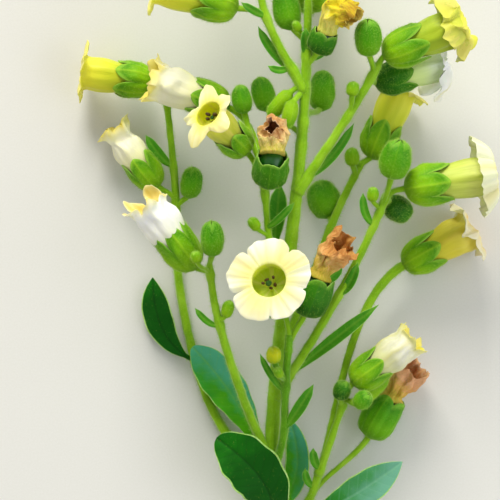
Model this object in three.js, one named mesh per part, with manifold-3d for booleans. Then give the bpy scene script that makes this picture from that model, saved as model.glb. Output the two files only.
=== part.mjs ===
// A flowering stem of tobacco, cut and laid down: the main stem, its flowering branches, open and fading
// blooms with their calyces, seed pods with dried corollas, buds, and leaves.
// Millimetres. +Y runs from the cut end to the tip, +Z is up from the surface that the stem lies on.
// It rests on the foot of the cut end, on the long branch behind at the left, and on two of the blooms
// behind the stem.
import * as THREE from "three";
import { mergeVertices } from "three/addons/utils/BufferGeometryUtils.js";
import Module from "manifold-3d";

const wasm = await Module();
wasm.setup();

// Driving sizes, shared by every copy of a piece.
const clearance = 0.3; // between two pieces that touch on the real plant
const petals = 5; // lobes on a corolla, and on a calyx
const stalkRadius = 0.5;
const leafThickness = 0.5;
const petalThickness = 0.45;
const stemSize = { sides: 8, stepsPerSpan: 3 };
const limbSides = 6;
const stalkSides = 5;
const driedSides = 8;
const driedGap = 0.8; // between a pod's top and its dried corolla
const longReach = 5; // a stalk that turns over a longer reach has more steps
const footShare = 0.12; // of a blade's length, before it widens
const broadLeaf = 2; // half width above which a leaf has a full section
const smallBud = 1.7; // radius below which a bud is made with few faces
const smallEgg = [
  [0.12, 0.75],
  [0.5, 1],
  [0.85, 0.6],
];
const largeEgg = [
  [0.12, 0.78],
  [0.4, 1],
  [0.68, 0.88],
  [0.9, 0.42],
];

// The layout's zero is beside the middle of the main stem. The whole is moved so that the frame's origin is
// the bottom centre of its box.
const layoutOffset = [-7.29, -7.11, 0];

// A bloom's sizes, from the foot of the calyx along the axis. Each kind states what differs from an
// open one.
const openBloom = {
  calyxLength: 9.3,
  calyxRadius: 4.1,
  calyxLobe: 3.2, // how far the lobes stand above the notches between them
  corollaFoot: 2.2, // where the tube starts inside the calyx
  throatAt: 12.4,
  throatRadius: 4.0,
  mouthAt: 15.6,
  mouthRadius: 3.9,
  limbAt: 16.8, // the plane of the spread lobes
  limbRadius: 8.5,
  notchShare: 0.8, // radius at a notch between lobes, as a share of limbRadius
  lobePower: 0.6, // below 1 the lobes are round, above 1 pointed
  limbRise: 0.3, // how far the lobe tips stand forward of the limb's plane
  openingRadius: 3.4,
};
const bloomKinds = {
  open: openBloom,
  star: { ...openBloom, notchShare: 0.6, lobePower: 1.0, limbRadius: 7.2, limbRise: -0.4 },
  crumpled: { ...openBloom, calyxRadius: 3.9, notchShare: 0.66, limbRadius: 6.8, limbRise: -0.9 },
  fading: {
    ...openBloom,
    calyxRadius: 3.9,
    throatAt: 11.4,
    throatRadius: 3.6,
    mouthAt: 15,
    mouthRadius: 2.9,
    limbAt: 16.2,
    limbRadius: 4.5,
    notchShare: 0.66,
    lobePower: 1.4,
    limbRise: 1.6,
    openingRadius: 2.2,
  },
};

const material = (colour, roughness) =>
  new THREE.MeshStandardMaterial({ color: colour, roughness, metalness: 0 });
const finishes = {
  stem: material(0x86ad3c, 0.6),
  calyx: material(0x6f9f22, 0.65),
  corolla: material(0xece873, 0.55),
  dried: material(0xc69549, 0.8),
  pod: material(0x3f8420, 0.5),
  leaf: material(0x2f7d2b, 0.6),
};

const vector = ([x, y, z]) => new THREE.Vector3(x, y, z);

const smoothCurve = (stations) => new THREE.CatmullRomCurve3(stations.map(vector), false, "centripetal");

// A curve whose middle stands off the straight line by bow.
function bowedCurve(start, end, bow) {
  const control = start.clone().add(end).multiplyScalar(0.5).addScaledVector(vector(bow), 2);
  return new THREE.QuadraticBezierCurve3(start, control, end);
}

// A seeded sequence of numbers between -1 and 1.
function seededNoise(seed) {
  let state = seed * 7919 + 17;
  return () => {
    state = (state * 1103515245 + 12345) % 2147483648;
    return (state / 2147483648) * 2 - 1;
  };
}

// The faces between two rings. A ring may have as many points as its neighbour, twice as many, or half.
function band(lower, lowerCount, upper, upperCount) {
  const faces = [];
  const low = (side) => lower + (side % lowerCount);
  const high = (side) => upper + (side % upperCount);
  for (let side = 0; side < Math.min(lowerCount, upperCount); side++) {
    if (lowerCount === upperCount) {
      faces.push(low(side), low(side + 1), high(side + 1));
      faces.push(low(side), high(side + 1), high(side));
    } else if (lowerCount < upperCount) {
      faces.push(low(side), high(2 * side + 1), high(2 * side));
      faces.push(low(side), low(side + 1), high(2 * side + 1));
      faces.push(low(side + 1), high(2 * side + 2), high(2 * side + 1));
    } else {
      faces.push(low(2 * side), low(2 * side + 1), high(side));
      faces.push(low(2 * side + 1), high(side + 1), high(side));
      faces.push(low(2 * side + 1), low(2 * side + 2), high(side + 1));
    }
  }
  return faces;
}

// A closed skin over rings of points, with a fan to a point at each end.
function skin(rings, firstPole, lastPole) {
  const middle = (ring) =>
    ring.reduce((sum, p) => sum.add(p), new THREE.Vector3()).divideScalar(ring.length);
  const poles = [firstPole ?? middle(rings[0]), lastPole ?? middle(rings.at(-1))];
  const points = [...rings.flat(), ...poles];
  const [first, last] = [points.length - 2, points.length - 1];
  const faces = [];
  let start = 0;
  rings.forEach((ring, index) => {
    const next = rings[index + 1];
    for (let side = 0; side < ring.length; side++) {
      const neighbour = (side + 1) % ring.length;
      if (index === 0) faces.push(first, neighbour, side);
      if (!next) faces.push(last, start + side, start + neighbour);
    }
    if (next) faces.push(...band(start, ring.length, start + ring.length, next.length));
    start += ring.length;
  });
  return new THREE.BufferGeometry().setFromPoints(points).setIndex(faces);
}

// Turns a closed geometry into a solid that can be joined and cut.
function solidOf(geometry) {
  const merged = mergeVertices(geometry, 1e-5);
  const made = new wasm.Manifold(
    new wasm.Mesh({
      numProp: 3,
      vertProperties: new Float32Array(merged.attributes.position.array),
      triVerts: new Uint32Array(merged.index.array),
    }),
  );
  return made;
}

function geometryOf(solid) {
  const mesh = solid.getMesh();
  const places = new Float32Array(mesh.numVert * 3);
  for (let i = 0; i < mesh.numVert; i++)
    places.set(mesh.vertProperties.subarray(i * mesh.numProp, i * mesh.numProp + 3), i * 3);
  return new THREE.BufferGeometry()
    .setAttribute("position", new THREE.BufferAttribute(places, 3))
    .setIndex(new THREE.BufferAttribute(mesh.triVerts, 1));
}

const joined = (solids) => solids.reduce((whole, piece) => whole.add(piece));

// The largest body of a solid, without the chips that a trim leaves beyond the gap.
const largestBody = (solid) =>
  solid.decompose().reduce((best, body) => (body.volume() > best.volume() ? body : best));

// Three axes at a place: out along the piece, and two across it, turned by an angle.
function axesAlong(direction, turn = 0) {
  const out = direction.clone().normalize();
  const helper = Math.abs(out.z) < 0.8 ? new THREE.Vector3(0, 0, 1) : new THREE.Vector3(0, 1, 0);
  const across = helper.cross(out).normalize().applyAxisAngle(out, THREE.MathUtils.degToRad(turn));
  return { out, across, over: out.clone().cross(across) };
}

// A ring of points round a centre. reach gives the radius for each side.
const ringRound = (centre, axes, sides, reach) =>
  Array.from({ length: sides }, (_, side) => {
    const angle = (side / sides) * 2 * Math.PI;
    return centre
      .clone()
      .addScaledVector(axes.across, reach(side) * Math.cos(angle))
      .addScaledVector(axes.over, reach(side) * Math.sin(angle));
  });

// Moves the last of a row of stations further along its own direction.
function reachFurther(stations, distance) {
  const [before, last] = stations.slice(-2);
  const end = vector(last).addScaledVector(vector(last).sub(vector(before)).normalize(), distance);
  return stations.with(-1, [...end.toArray(), ...last.slice(3)]);
}

// A tapering limb through [x, y, z, radius] stations. swell thickens and lengthens it, to cut a gap round
// it, and rough is the share of the radius by which its surface is crumpled.
function limb(stations, { sides = limbSides, stepsPerSpan = 2, swell = 0, rough = 0, seed = 1 } = {}) {
  const path = swell ? reachFurther(stations, swell) : stations;
  const curve = smoothCurve(path);
  const noise = seededNoise(seed);
  const spans = path.length - 1;
  const made = [];
  let across = null;
  for (let step = 0; step <= spans * stepsPerSpan; step++) {
    const along = step / stepsPerSpan;
    const before = Math.min(Math.floor(along), spans - 1);
    const radius = THREE.MathUtils.lerp(path[before][3], path[before + 1][3], along - before) + swell;
    const out = curve.getTangent(along / spans);
    const start = across ?? axesAlong(out).across;
    across = start.clone().addScaledVector(out, -start.dot(out)).normalize();
    const crumple = step === 0 ? 0 : rough;
    const axes = { across, over: out.clone().cross(across) };
    const reach = () => radius * (1 - crumple + crumple * noise());
    const reaches = Array.from({ length: sides }, reach);
    made.push(ringRound(curve.getPoint(along / spans), axes, sides, (side) => reaches[side]));
  }
  return solidOf(skin(made));
}

// The stalk of a bud or bloom. It leaves its limb along the limb, turns into the direction of what it
// carries, and runs on into it by depth.
function stalkLimb({ carrier, at, foot, ease = 0.35 }, direction, depth, radius, swell = 0) {
  const start = limbCurves[carrier].getPoint(at);
  const arriving = direction.clone().normalize();
  const end = vector(foot).addScaledVector(arriving, depth);
  const reach = start.distanceTo(end) * ease;
  const curve = new THREE.CubicBezierCurve3(
    start,
    start.clone().addScaledVector(limbCurves[carrier].getTangent(at), reach),
    end.clone().addScaledVector(arriving, -reach),
    end,
  );
  const places = curve.getPoints(reach > longReach ? 7 : 3);
  const widening = (i) => 1 + 0.35 * (i / places.length) ** 2;
  const stations = places.map((place, i) => [...place.toArray(), radius * widening(i)]);
  return limb(stations, { sides: stalkSides, stepsPerSpan: 1, swell });
}

// A leaf blade from its limb to its tip, with a thick foot and a thin blade. fold raises its edges.
function leaf({ carrier, at, tip, bow, halfWidth, peak = 0.45, fold = 0.3, swell = 0 }) {
  const start = limbCurves[carrier].getPoint(at);
  const curve = bowedCurve(start, vector(tip), bow);
  const broad = halfWidth > broadLeaf;
  const thick = (broad ? 1 : 0.8) * leafThickness;
  const stalkHalf = Math.min(0.5, halfWidth * 0.6);
  const steps = broad ? 9 : 4;
  const power = Math.log(0.5) / Math.log(peak);
  const section = broad
    ? [[-1, 0], [-0.55, 0.85], [0, 1], [0.55, 0.85], [1, 0], [0.55, -0.85], [0, -1], [-0.55, -0.85]]
    : [[-1, 0], [0, 1], [1, 0], [0, -1]];
  const made = [];
  for (let step = 0; step <= steps; step++) {
    const t = step / steps;
    const blade = Math.max(0, (t - footShare) / (1 - footShare));
    const spread = Math.sin(Math.PI * Math.min(blade ** power, 0.985)) ** 0.8;
    const half = stalkHalf + (halfWidth - stalkHalf) * spread;
    const height = THREE.MathUtils.lerp(stalkHalf, thick / 2, Math.min(1, blade * 4)) + swell;
    const tangent = curve.getTangentAt(t);
    const side = tangent.clone().cross(new THREE.Vector3(0, 0, 1)).normalize();
    const up = side.clone().cross(tangent);
    const centre = curve.getPointAt(t).addScaledVector(tangent, step === steps ? swell : 0);
    made.push(
      section.map(([a, above]) =>
        centre
          .clone()
          .addScaledVector(side, a * (half + swell))
          .addScaledVector(up, above * height + fold * Math.abs(a) * (half - stalkHalf)),
      ),
    );
  }
  return solidOf(skin(made));
}

// Rings round an axis. shape turns a station and an angle into a distance along the axis and a radius.
const ringsAlong = (foot, axes, stations, count, shape) =>
  stations.map((station) => {
    const sides = typeof count === "function" ? count(station) : count;
    const places = Array.from({ length: sides }, (_, side) => shape(station, (side / sides) * 2 * Math.PI));
    return ringRound(foot, axes, sides, (side) => places[side][1]).map((point, side) =>
      point.addScaledVector(axes.out, places[side][0]),
    );
  });

// 1 at the middle of each lobe and 0 at the notches.
const lobeAt = (angle, power) => Math.abs(Math.cos((petals / 2) * angle)) ** power;

// Where the foot of the tube has widened.
const tubeBulge = 5;

const tubeStations = (kind) => [
  [kind.corollaFoot, 1.7],
  [tubeBulge, 2.8],
  [kind.throatAt, kind.throatRadius],
  [kind.mouthAt, kind.mouthRadius],
];

// The outside of the corolla's tube at a distance along the axis.
function tubeRadius(kind, along) {
  const shape = tubeStations(kind);
  const after = Math.max(1, shape.findIndex(([at]) => at >= along));
  const [[a0, r0], [a1, r1]] = [shape[after - 1], shape[after]];
  return THREE.MathUtils.lerp(r0, r1, (along - a0) / (a1 - a0));
}

// The calyx: a cup with five lobes, hollow for the corolla's tube.
function calyx(foot, axes, kind, scale) {
  const sides = petals * 2;
  const rim = kind.calyxLength - kind.calyxLobe;
  const hollow = (along) => tubeRadius(kind, along) + (clearance + 0.02) / scale;
  const outer = Math.max(kind.calyxRadius, hollow(rim) + 0.45);
  const stations = [
    [0.3, outer * 0.5],
    [1.7, outer * 0.9],
    [rim * 0.75, outer * 1.03],
    [rim, outer, 1],
    [rim, hollow(rim), 1],
    [tubeBulge, hollow(tubeBulge)],
    [kind.corollaFoot - clearance / scale, hollow(kind.corollaFoot)],
  ].map(([along, radius, lobed]) => [along * scale, radius * scale, lobed]);
  const opening = (tubeRadius(kind, rim + kind.calyxLobe) - tubeRadius(kind, rim)) * scale;
  const shape = ([along, radius, lobed], angle) => {
    const lobe = lobed ? lobeAt(angle, 1) : 0;
    return [along + lobe * kind.calyxLobe * scale, radius + lobe * opening];
  };
  const floor = foot.clone().addScaledVector(axes.out, stations.at(-1)[0]);
  return solidOf(skin(ringsAlong(foot, axes, stations, sides, shape), foot.clone(), floor));
}

// The corolla: a widening tube, a throat that is open at the front, and a limb of five lobes.
function corolla(foot, axes, kind, scale) {
  const stations = [
    ...tubeStations(kind),
    [kind.limbAt, kind.limbRadius, 1],
    [kind.limbAt + petalThickness, kind.limbRadius - 0.25, 1],
    [kind.mouthAt + petalThickness * 1.6, kind.openingRadius],
    [kind.throatAt - 1, kind.openingRadius * 0.8],
  ].map(([along, radius, lobed]) => [along * scale, radius * scale, lobed]);
  const shape = ([along, radius, lobed], angle) => {
    if (!lobed) return [along, radius];
    const lobe = lobeAt(angle, kind.lobePower);
    return [
      along + kind.limbRise * scale * lobe,
      radius * (kind.notchShare + (1 - kind.notchShare) * lobe),
    ];
  };
  const at = (along) => foot.clone().addScaledVector(axes.out, along * scale);
  const sides = ([, , lobed]) => (lobed ? petals * 4 : petals * 2);
  const made = ringsAlong(foot, axes, stations, sides, shape);
  return solidOf(skin(made, at(kind.corollaFoot), at(7)));
}

// A closed bud or pod in its calyx: an egg with five shallow grooves.
function egg({ foot, tip, radius, swell = 0 }) {
  const axes = axesAlong(vector(tip).sub(vector(foot)));
  const start = vector(foot).addScaledVector(axes.out, -swell);
  const end = vector(tip).addScaledVector(axes.out, swell);
  const length = start.distanceTo(end);
  const profile = radius < smallBud ? smallEgg : largeEgg;
  const sides = radius < smallBud ? petals : petals * 2;
  const shape = ([along, share], angle) => [
    along * length,
    (share * radius + swell) * (0.93 + 0.07 * lobeAt(angle, 1)),
  ];
  return solidOf(skin(ringsAlong(start, axes, profile, sides, shape), start, end));
}

// A ripening pod: an open calyx with the round pod inside it.
function podInCalyx(foot, axes, { length, radius, lobe }) {
  const rim = length - lobe;
  const stations = [
    [0.3, radius * 0.5],
    [1.8, radius * 0.9],
    [rim * 0.6, radius],
    [rim, radius * 0.98, 1],
    [rim, radius * 0.98 - 0.45, 1],
    [rim * 0.72, radius - 0.6],
    [rim * 0.82, radius * 0.55],
  ];
  const shape = ([along, reach, lobed], angle) => [along + (lobed ? lobeAt(angle, 1) * lobe : 0), reach];
  const crest = foot.clone().addScaledVector(axes.out, crestAt({ length, lobe }));
  return solidOf(skin(ringsAlong(foot, axes, stations, petals * 2, shape), foot.clone(), crest));
}

// A bud on its stalk.
function bud({ foot, tip, radius, swell = 0, ...root }) {
  const direction = vector(tip).sub(vector(foot));
  const stalkSize = Math.min(stalkRadius, radius * 0.35);
  const stalk = stalkLimb({ ...root, foot }, direction, direction.length() * 0.2, stalkSize, swell);
  return stalk.add(egg({ foot, tip, radius, swell }));
}

// Where the pod's top meets its dried corolla, along the axis from the foot.
const crestAt = ({ length, lobe }) => (length - lobe) * 0.86;

function driedCorolla(foot, axes, cup, { tip, bow, radii }, seed) {
  const start = foot.clone().addScaledVector(axes.out, crestAt(cup) + driedGap);
  const places = bowedCurve(start, vector(tip), bow).getPoints(radii.length - 1);
  const stations = places.map((place, i) => [...place.toArray(), radii[i]]);
  return limb(stations, { sides: driedSides, rough: 0.2, seed });
}

// The limbs, each through [x, y, z, radius] stations from the centre line of what carries it to its tip.
// at is the share of the way along a limb where a piece grows from it, foot is where a bud or calyx starts,
// and bow is how far the middle of a blade stands off the straight line.
const limbs = {
  main_stem: {
    stations: [
      [3.2, -63.6, 1.56, 1.6],
      [5.1, -27.8, 10.3, 1.35],
      [8, 0, 17, 1.3],
      [10.5, 24, 21.4, 1.08],
      [11.9, 61, 26.2, 0.55],
    ],
    buds: [
      { at: 0.8, foot: [8.6, 29.8, 24], tip: [7.1, 23.8, 24.4], radius: 1.5 },
      { at: 0.81, foot: [8.2, 31.6, 22.8], tip: [3.6, 26.2, 21.6], radius: 1.6 },
      { at: 0.87, foot: [9.9, 43.2, 24.6], tip: [8.6, 45.2, 25.4], radius: 0.9 },
      { at: 0.86, foot: [8.3, 43.8, 21.8], tip: [6.3, 51.6, 21.8], radius: 2.7 },
      { at: 0.76, foot: [14.2, 28, 13], tip: [14.9, 36.4, 11.6], radius: 2.6 },
      { at: 0.72, foot: [3.6, 28, 12.8], tip: [1.8, 35, 11.8], radius: 2.3 },
      { at: 0.97, foot: [8.2, 59.4, 27.6], tip: [6.2, 65.6, 29], radius: 2.3 },
      { at: 0.99, foot: [11.8, 63, 25.8], tip: [11.6, 67.6, 25.6], radius: 1.5 },
      { at: 1, foot: [13.4, 62.6, 26.6], tip: [14.8, 65.6, 27], radius: 1.2 },
      { at: 1, foot: [10.8, 62.2, 27.6], tip: [10, 64.4, 29.2], radius: 1 },
    ],
    bracts: [
      { at: 0.85, tip: [11, 43.8, 26.2], bow: [-0.1, -0.2, 0.4], halfWidth: 1 },
      { at: 0.85, tip: [15.6, 40.2, 21.4], bow: [-0.4, -0.6, -0.4], halfWidth: 1 },
      { at: 0.94, tip: [16.4, 54, 23.2], bow: [-0.4, 0, -0.1], halfWidth: 1.1 },
    ],
  },
  right_upper_branch: {
    stations: [
      [9.4, 11.5, 19.4, 1.05],
      [16, 21.3, 21.4, 0.9],
      [22.3, 31.2, 22.4, 0.8],
      [25.4, 36.6, 22.3, 0.7],
    ],
    buds: [
      { at: 0.5, foot: [20.2, 30.4, 24], tip: [20.5, 33.4, 24.6], radius: 1.3 },
    ],
    bracts: [
      { at: 0.09, tip: [20.8, 25.4, 20.4], bow: [0.4, -1.1, 0], halfWidth: 0.95 },
    ],
  },
  left_upper_branch: {
    stations: [
      [10.9, 31.6, 22.5, 0.95],
      [5.1, 41.7, 24.2, 0.85],
      [2.5, 48.3, 25, 0.75],
      [1.6, 58.4, 26, 0.6],
    ],
    buds: [
      { at: 0.89, foot: [3.8, 56.8, 26.6], tip: [5, 59.6, 27.4], radius: 1.25 },
      { at: 0.94, foot: [-0.6, 57.8, 26.6], tip: [-2.4, 59.8, 27.2], radius: 1.1 },
    ],
    bracts: [
      { at: 0.12, tip: [1.6, 44.4, 23.4], bow: [-0.7, -0.3, -0.6], halfWidth: 0.95 },
      { at: 0.15, tip: [3.6, 36.4, 24.8], bow: [-0.1, -0.7, -0.1], halfWidth: 0.75 },
      { at: 0.56, tip: [-1.6, 48.6, 28.6], bow: [-0.4, 0, 0.3], halfWidth: 0.8 },
    ],
  },
  left_middle_branch: {
    stations: [
      [6.7, -7, 15.3, 0.78],
      [4, 1.6, 18.2, 0.66],
      [2.8, 12.8, 20.4, 0.58],
    ],
    buds: [
      { at: 0.94, foot: [-1.1, 27.2, 18.6], tip: [-2.2, 33, 19.6], radius: 1.95 },
      { at: 0.52, foot: [1.6, 4, 20.4], tip: [0, 6.4, 21.8], radius: 1.1 },
    ],
    bracts: [
      { at: 0.64, tip: [8.8, 9.4, 23.6], bow: [-0.6, -1, 0.2], halfWidth: 0.75 },
    ],
  },
  left_branch: {
    stations: [
      [3.9, -42.4, 6.7, 1.02],
      [-1.4, -30, 11.4, 0.9],
      [-6.6, -13, 17.4, 0.8],
      [-8.1, -3.6, 19.6, 0.66],
    ],
    buds: [
      { at: 0.63, foot: [-5, -13.6, 18], tip: [-3.9, -10, 18.8], radius: 1.2 },
      { at: 0.94, foot: [-10.4, -2.6, 24], tip: [-10.9, -0.2, 24.8], radius: 1.05 },
    ],
    bracts: [
      { at: 0.62, tip: [-11, -11.6, 18.2], bow: [0.1, -1, 0.1], halfWidth: 0.7 },
    ],
  },
  front_stalk: {
    stations: [
      [4.1, -47, 5.6, 0.98],
      [6.7, -38, 10.6, 0.82],
      [7.1, -27.8, 13.8, 0.76],
      [7.9, -17.2, 16.7, 0.7],
    ],
    buds: [
      { at: 0.68, foot: [4.9, -22.8, 16.8], tip: [4.6, -19.2, 17.6], radius: 1.5 },
      { at: 0.69, foot: [6, -25.4, 16.6], tip: [5.4, -23.6, 18.6], radius: 0.95 },
    ],
    bracts: [
      { at: 0.39, tip: [12.8, -27, 15], bow: [-0.4, -0.9, 0.3], halfWidth: 1.25 },
      { at: 0.64, tip: [2, -20.8, 16.6], bow: [-0.3, -0.5, -0.1], halfWidth: 0.7 },
    ],
  },
  right_lower_branch: {
    stations: [
      [5, -30, 9.8, 0.98],
      [12.8, -17.8, 12.6, 0.88],
      [22.3, -0.6, 16, 0.8],
      [27.4, 11, 19, 0.7],
    ],
    buds: [
      { at: 0.9, foot: [24.4, 9.6, 19.4], tip: [24.6, 12.6, 20.4], radius: 1.15 },
      { at: 0.97, foot: [27.6, 9.6, 17], tip: [32, 6.8, 13.4], radius: 2.6 },
    ],
    bracts: [
      { at: 0.5, tip: [21.6, -2.6, 17.6], bow: [0.1, -1.1, -0.5], halfWidth: 1.1 },
      { at: 0.82, tip: [22.6, 11.4, 18.8], bow: [-0.7, -0.5, 0.1], halfWidth: 0.85 },
    ],
  },
  right_low_branch: {
    stations: [
      [3.5, -60.4, 2.35, 0.98],
      [10, -55, 4, 0.87],
      [15.1, -42.3, 8.6, 0.76],
      [19, -30.4, 11.6, 0.65],
    ],
    buds: [
      { at: 0.95, foot: [18.2, -30.2, 13], tip: [18.8, -26.2, 14.4], radius: 1.75 },
      { at: 0.99, foot: [21.4, -31.4, 14], tip: [24, -28.8, 16.2], radius: 1.75 },
      { at: 0.97, foot: [22, -31.2, 9.8], tip: [28, -25.6, 8.8], radius: 1.6 },
    ],
    bracts: [
      { at: 0.61, tip: [12.8, -40.2, 10], bow: [-0.4, -0.6, 0.1], halfWidth: 0.95 },
      { at: 0.52, tip: [11.2, -44.4, 8.8], bow: [-0.4, -0.7, 0.1], halfWidth: 0.8 },
    ],
  },
  back_right_branch: {
    stations: [
      [5.3, -22.4, 11.5, 0.98],
      [11, -10, 6.6, 0.9],
      [17.4, 7, 6.8, 0.8],
      [22.6, 17.6, 7.6, 0.68],
    ],
    buds: [
      { at: 0.61, foot: [16.4, 6.6, 4.6], tip: [13.8, 14.2, 3.26], radius: 3.3 },
      { at: 0.91, foot: [20.8, 17, 9.2], tip: [20.6, 20.8, 10.4], radius: 1.5 },
    ],
    bracts: [
      { at: 0.42, tip: [19, -3, 3.6], bow: [-0.2, -1.6, -0.3], halfWidth: 1.3 },
    ],
  },
  back_left_branch: {
    stations: [
      [4, -48, 5.4, 1],
      [-7.4, -33.4, 1.5, 0.92],
      [-14.4, -8, 1.4, 0.87],
      [-15.4, 14, 4.2, 0.78],
      [-17, 31, 7.2, 0.6],
    ],
    buds: [
      { at: 0.68, foot: [-12.6, 10.6, 4.6], tip: [-11.4, 17, 6.2], radius: 2.2 },
      { at: 0.97, foot: [-15.6, 32.2, 8.2], tip: [-14.8, 36.8, 9.2], radius: 1.6 },
      { at: 0.99, foot: [-17.8, 32.8, 9.4], tip: [-18, 35, 11], radius: 1 },
    ],
    bracts: [
      { at: 0.79, tip: [-21.4, 23.6, 4], bow: [-0.1, -0.6, -0.1], halfWidth: 1.1 },
    ],
  },
};

// The blooms. faces is the direction of the axis, and turn spins the lobes round it, in degrees.
const blooms = [
  {
    name: "front_bloom",
    carrier: "front_stalk",
    at: 0.98,
    foot: [6.2, -10.8, 18.2],
    faces: [-0.15, 0.29, 0.94],
    kind: "open",
    scale: 1,
    turn: 22,
  },
  {
    name: "right_bloom",
    carrier: "right_lower_branch",
    at: 0.98,
    foot: [30.8, 12.2, 20],
    faces: [0.98, 0.16, -0.1],
    kind: "open",
    scale: 1,
    turn: 20,
  },
  {
    name: "upper_right_bloom",
    carrier: "right_upper_branch",
    at: 0.96,
    foot: [26.4, 38.4, 23],
    faces: [0.92, 0.39, 0.06],
    kind: "crumpled",
    scale: 1,
    turn: 40,
  },
  {
    name: "upper_right_back_bloom",
    carrier: "right_upper_branch",
    at: 0.83,
    foot: [25, 33.4, 16.8],
    faces: [0.94, 0.3, -0.16],
    kind: "crumpled",
    scale: 0.88,
    turn: 15,
  },
  {
    name: "upper_left_bloom",
    carrier: "left_upper_branch",
    at: 0.55,
    foot: [-2.4, 46.8, 24.2],
    faces: [-0.96, 0.28, 0.02],
    kind: "star",
    scale: 1,
    turn: 30,
  },
  {
    name: "left_star_bloom",
    carrier: "left_middle_branch",
    at: 0.91,
    foot: [-0.8, 19.8, 21.2],
    faces: [-0.54, 0.5, 0.68],
    kind: "star",
    scale: 0.82,
    turn: 20,
  },
  {
    name: "left_fading_bloom",
    carrier: "left_middle_branch",
    at: 0.9,
    foot: [-4.2, 28.6, 16],
    faces: [-0.93, 0.33, 0.12],
    kind: "fading",
    scale: 0.94,
    turn: 12,
  },
  {
    name: "left_pale_bloom",
    carrier: "left_branch",
    at: 0.95,
    foot: [-10.6, -4.2, 18.2],
    faces: [-0.64, 0.76, 0.14],
    kind: "fading",
    scale: 0.98,
    turn: 25,
  },
  {
    name: "right_low_fading_bloom",
    carrier: "right_low_branch",
    at: 0.99,
    foot: [20.6, -27, 12],
    faces: [0.8, 0.59, 0.1],
    kind: "fading",
    scale: 0.9,
    turn: 50,
  },
  {
    name: "back_right_bloom",
    carrier: "back_right_branch",
    at: 0.98,
    foot: [24.6, 18.6, 7.4],
    faces: [0.4, 0.91, -0.05],
    kind: "star",
    scale: 0.9,
    turn: 10,
  },
  {
    name: "far_right_bloom",
    carrier: "right_low_branch",
    at: 0.58,
    foot: [31.2, -3.2, 5.66],
    faces: [0.88, 0.47, 0.02],
    kind: "crumpled",
    scale: 0.95,
    turn: 12,
    stalkSize: 0.72,
    ease: 0.3,
  },
  {
    name: "back_left_pale_bloom",
    carrier: "back_left_branch",
    at: 0.7,
    foot: [-18.8, 12.8, 5.4],
    faces: [-0.6, 0.79, 0.05],
    kind: "fading",
    scale: 0.86,
    turn: 5,
  },
  {
    name: "back_left_bloom",
    carrier: "back_left_branch",
    at: 0.99,
    foot: [-19.4, 34, 7.2],
    faces: [-0.98, 0.14, -0.02],
    kind: "star",
    scale: 0.88,
    turn: 44,
  },
  {
    name: "top_right_bloom",
    carrier: "main_stem",
    at: 0.95,
    foot: [14.8, 56, 27],
    faces: [0.62, 0.76, 0.2],
    kind: "open",
    scale: 0.94,
    turn: 33,
  },
  {
    name: "top_left_bloom",
    carrier: "left_upper_branch",
    at: 0.98,
    foot: [0.9, 61, 26.4],
    faces: [-0.4, 0.9, 0.16],
    kind: "open",
    scale: 0.9,
    turn: 16,
  },
  {
    name: "top_back_bloom",
    carrier: "main_stem",
    at: 0.91,
    foot: [11.7, 49.2, 18.28],
    faces: [0.1, 0.52, -0.85],
    kind: "open",
    scale: 0.94,
    turn: 0,
  },
];

// Pods that still hold their dried corolla, which has one radius for each quarter of its length.
const pods = [
  {
    name: "front_pod",
    carrier: "front_stalk",
    at: 0.9,
    foot: [11.2, -13.8, 17.8],
    faces: [0.38, 0.9, 0.2],
    cup: { length: 8.8, radius: 3.7, lobe: 2.6 },
    dried: { tip: [20.6, 2.6, 21.6], bow: [-0.7, 0, 0], radii: [1.7, 2.3, 3.4, 2.6] },
  },
  {
    name: "left_pod",
    carrier: "left_middle_branch",
    at: 0.97,
    foot: [3.7, 13.2, 21.4],
    faces: [0.1, 0.72, 0.68],
    cup: { length: 7.8, radius: 3.9, lobe: 2.2 },
    dried: { tip: [3.8, 27, 29.4], bow: [0.2, -0.3, 1.4], radii: [1.9, 2.5, 2.9, 2.1] },
  },
  {
    name: "top_pod",
    carrier: "main_stem",
    at: 0.83,
    foot: [13.4, 39, 25.2],
    faces: [0.36, 0.84, 0.42],
    cup: { length: 7.4, radius: 3.2, lobe: 2.4 },
    dried: { tip: [20.6, 45, 30.8], bow: [-0.6, 2.8, 0.5], radii: [1.2, 1.4, 2.9, 2.4] },
  },
  {
    name: "right_low_pod",
    carrier: "right_low_branch",
    at: 0.44,
    foot: [23.2, -38.2, 3.8],
    faces: [0.5, 0.86, 0.06],
    cup: { length: 8.8, radius: 3.7, lobe: 2.6 },
    dried: { tip: [35, -23.4, 5.6], bow: [-0.8, 0.1, 0], radii: [1.6, 1.9, 2.6, 2.2] },
  },
];

// Buds that are large enough to be pieces of their own.
const largeBuds = [
  {
    name: "left_bud",
    carrier: "left_branch",
    at: 0.98,
    foot: [-7.4, -1.2, 22.8],
    tip: [-7.6, 5.8, 25.6],
    radius: 2.3,
  },
  {
    name: "right_bud",
    carrier: "right_lower_branch",
    at: 0.89,
    foot: [28, 14.2, 22.6],
    tip: [29.8, 21.8, 25.6],
    radius: 3.1,
  },
  {
    name: "upper_right_bud",
    carrier: "right_upper_branch",
    at: 0.85,
    foot: [23.4, 38.4, 25],
    tip: [23.2, 45.4, 28.4],
    radius: 2.6,
  },
];

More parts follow.
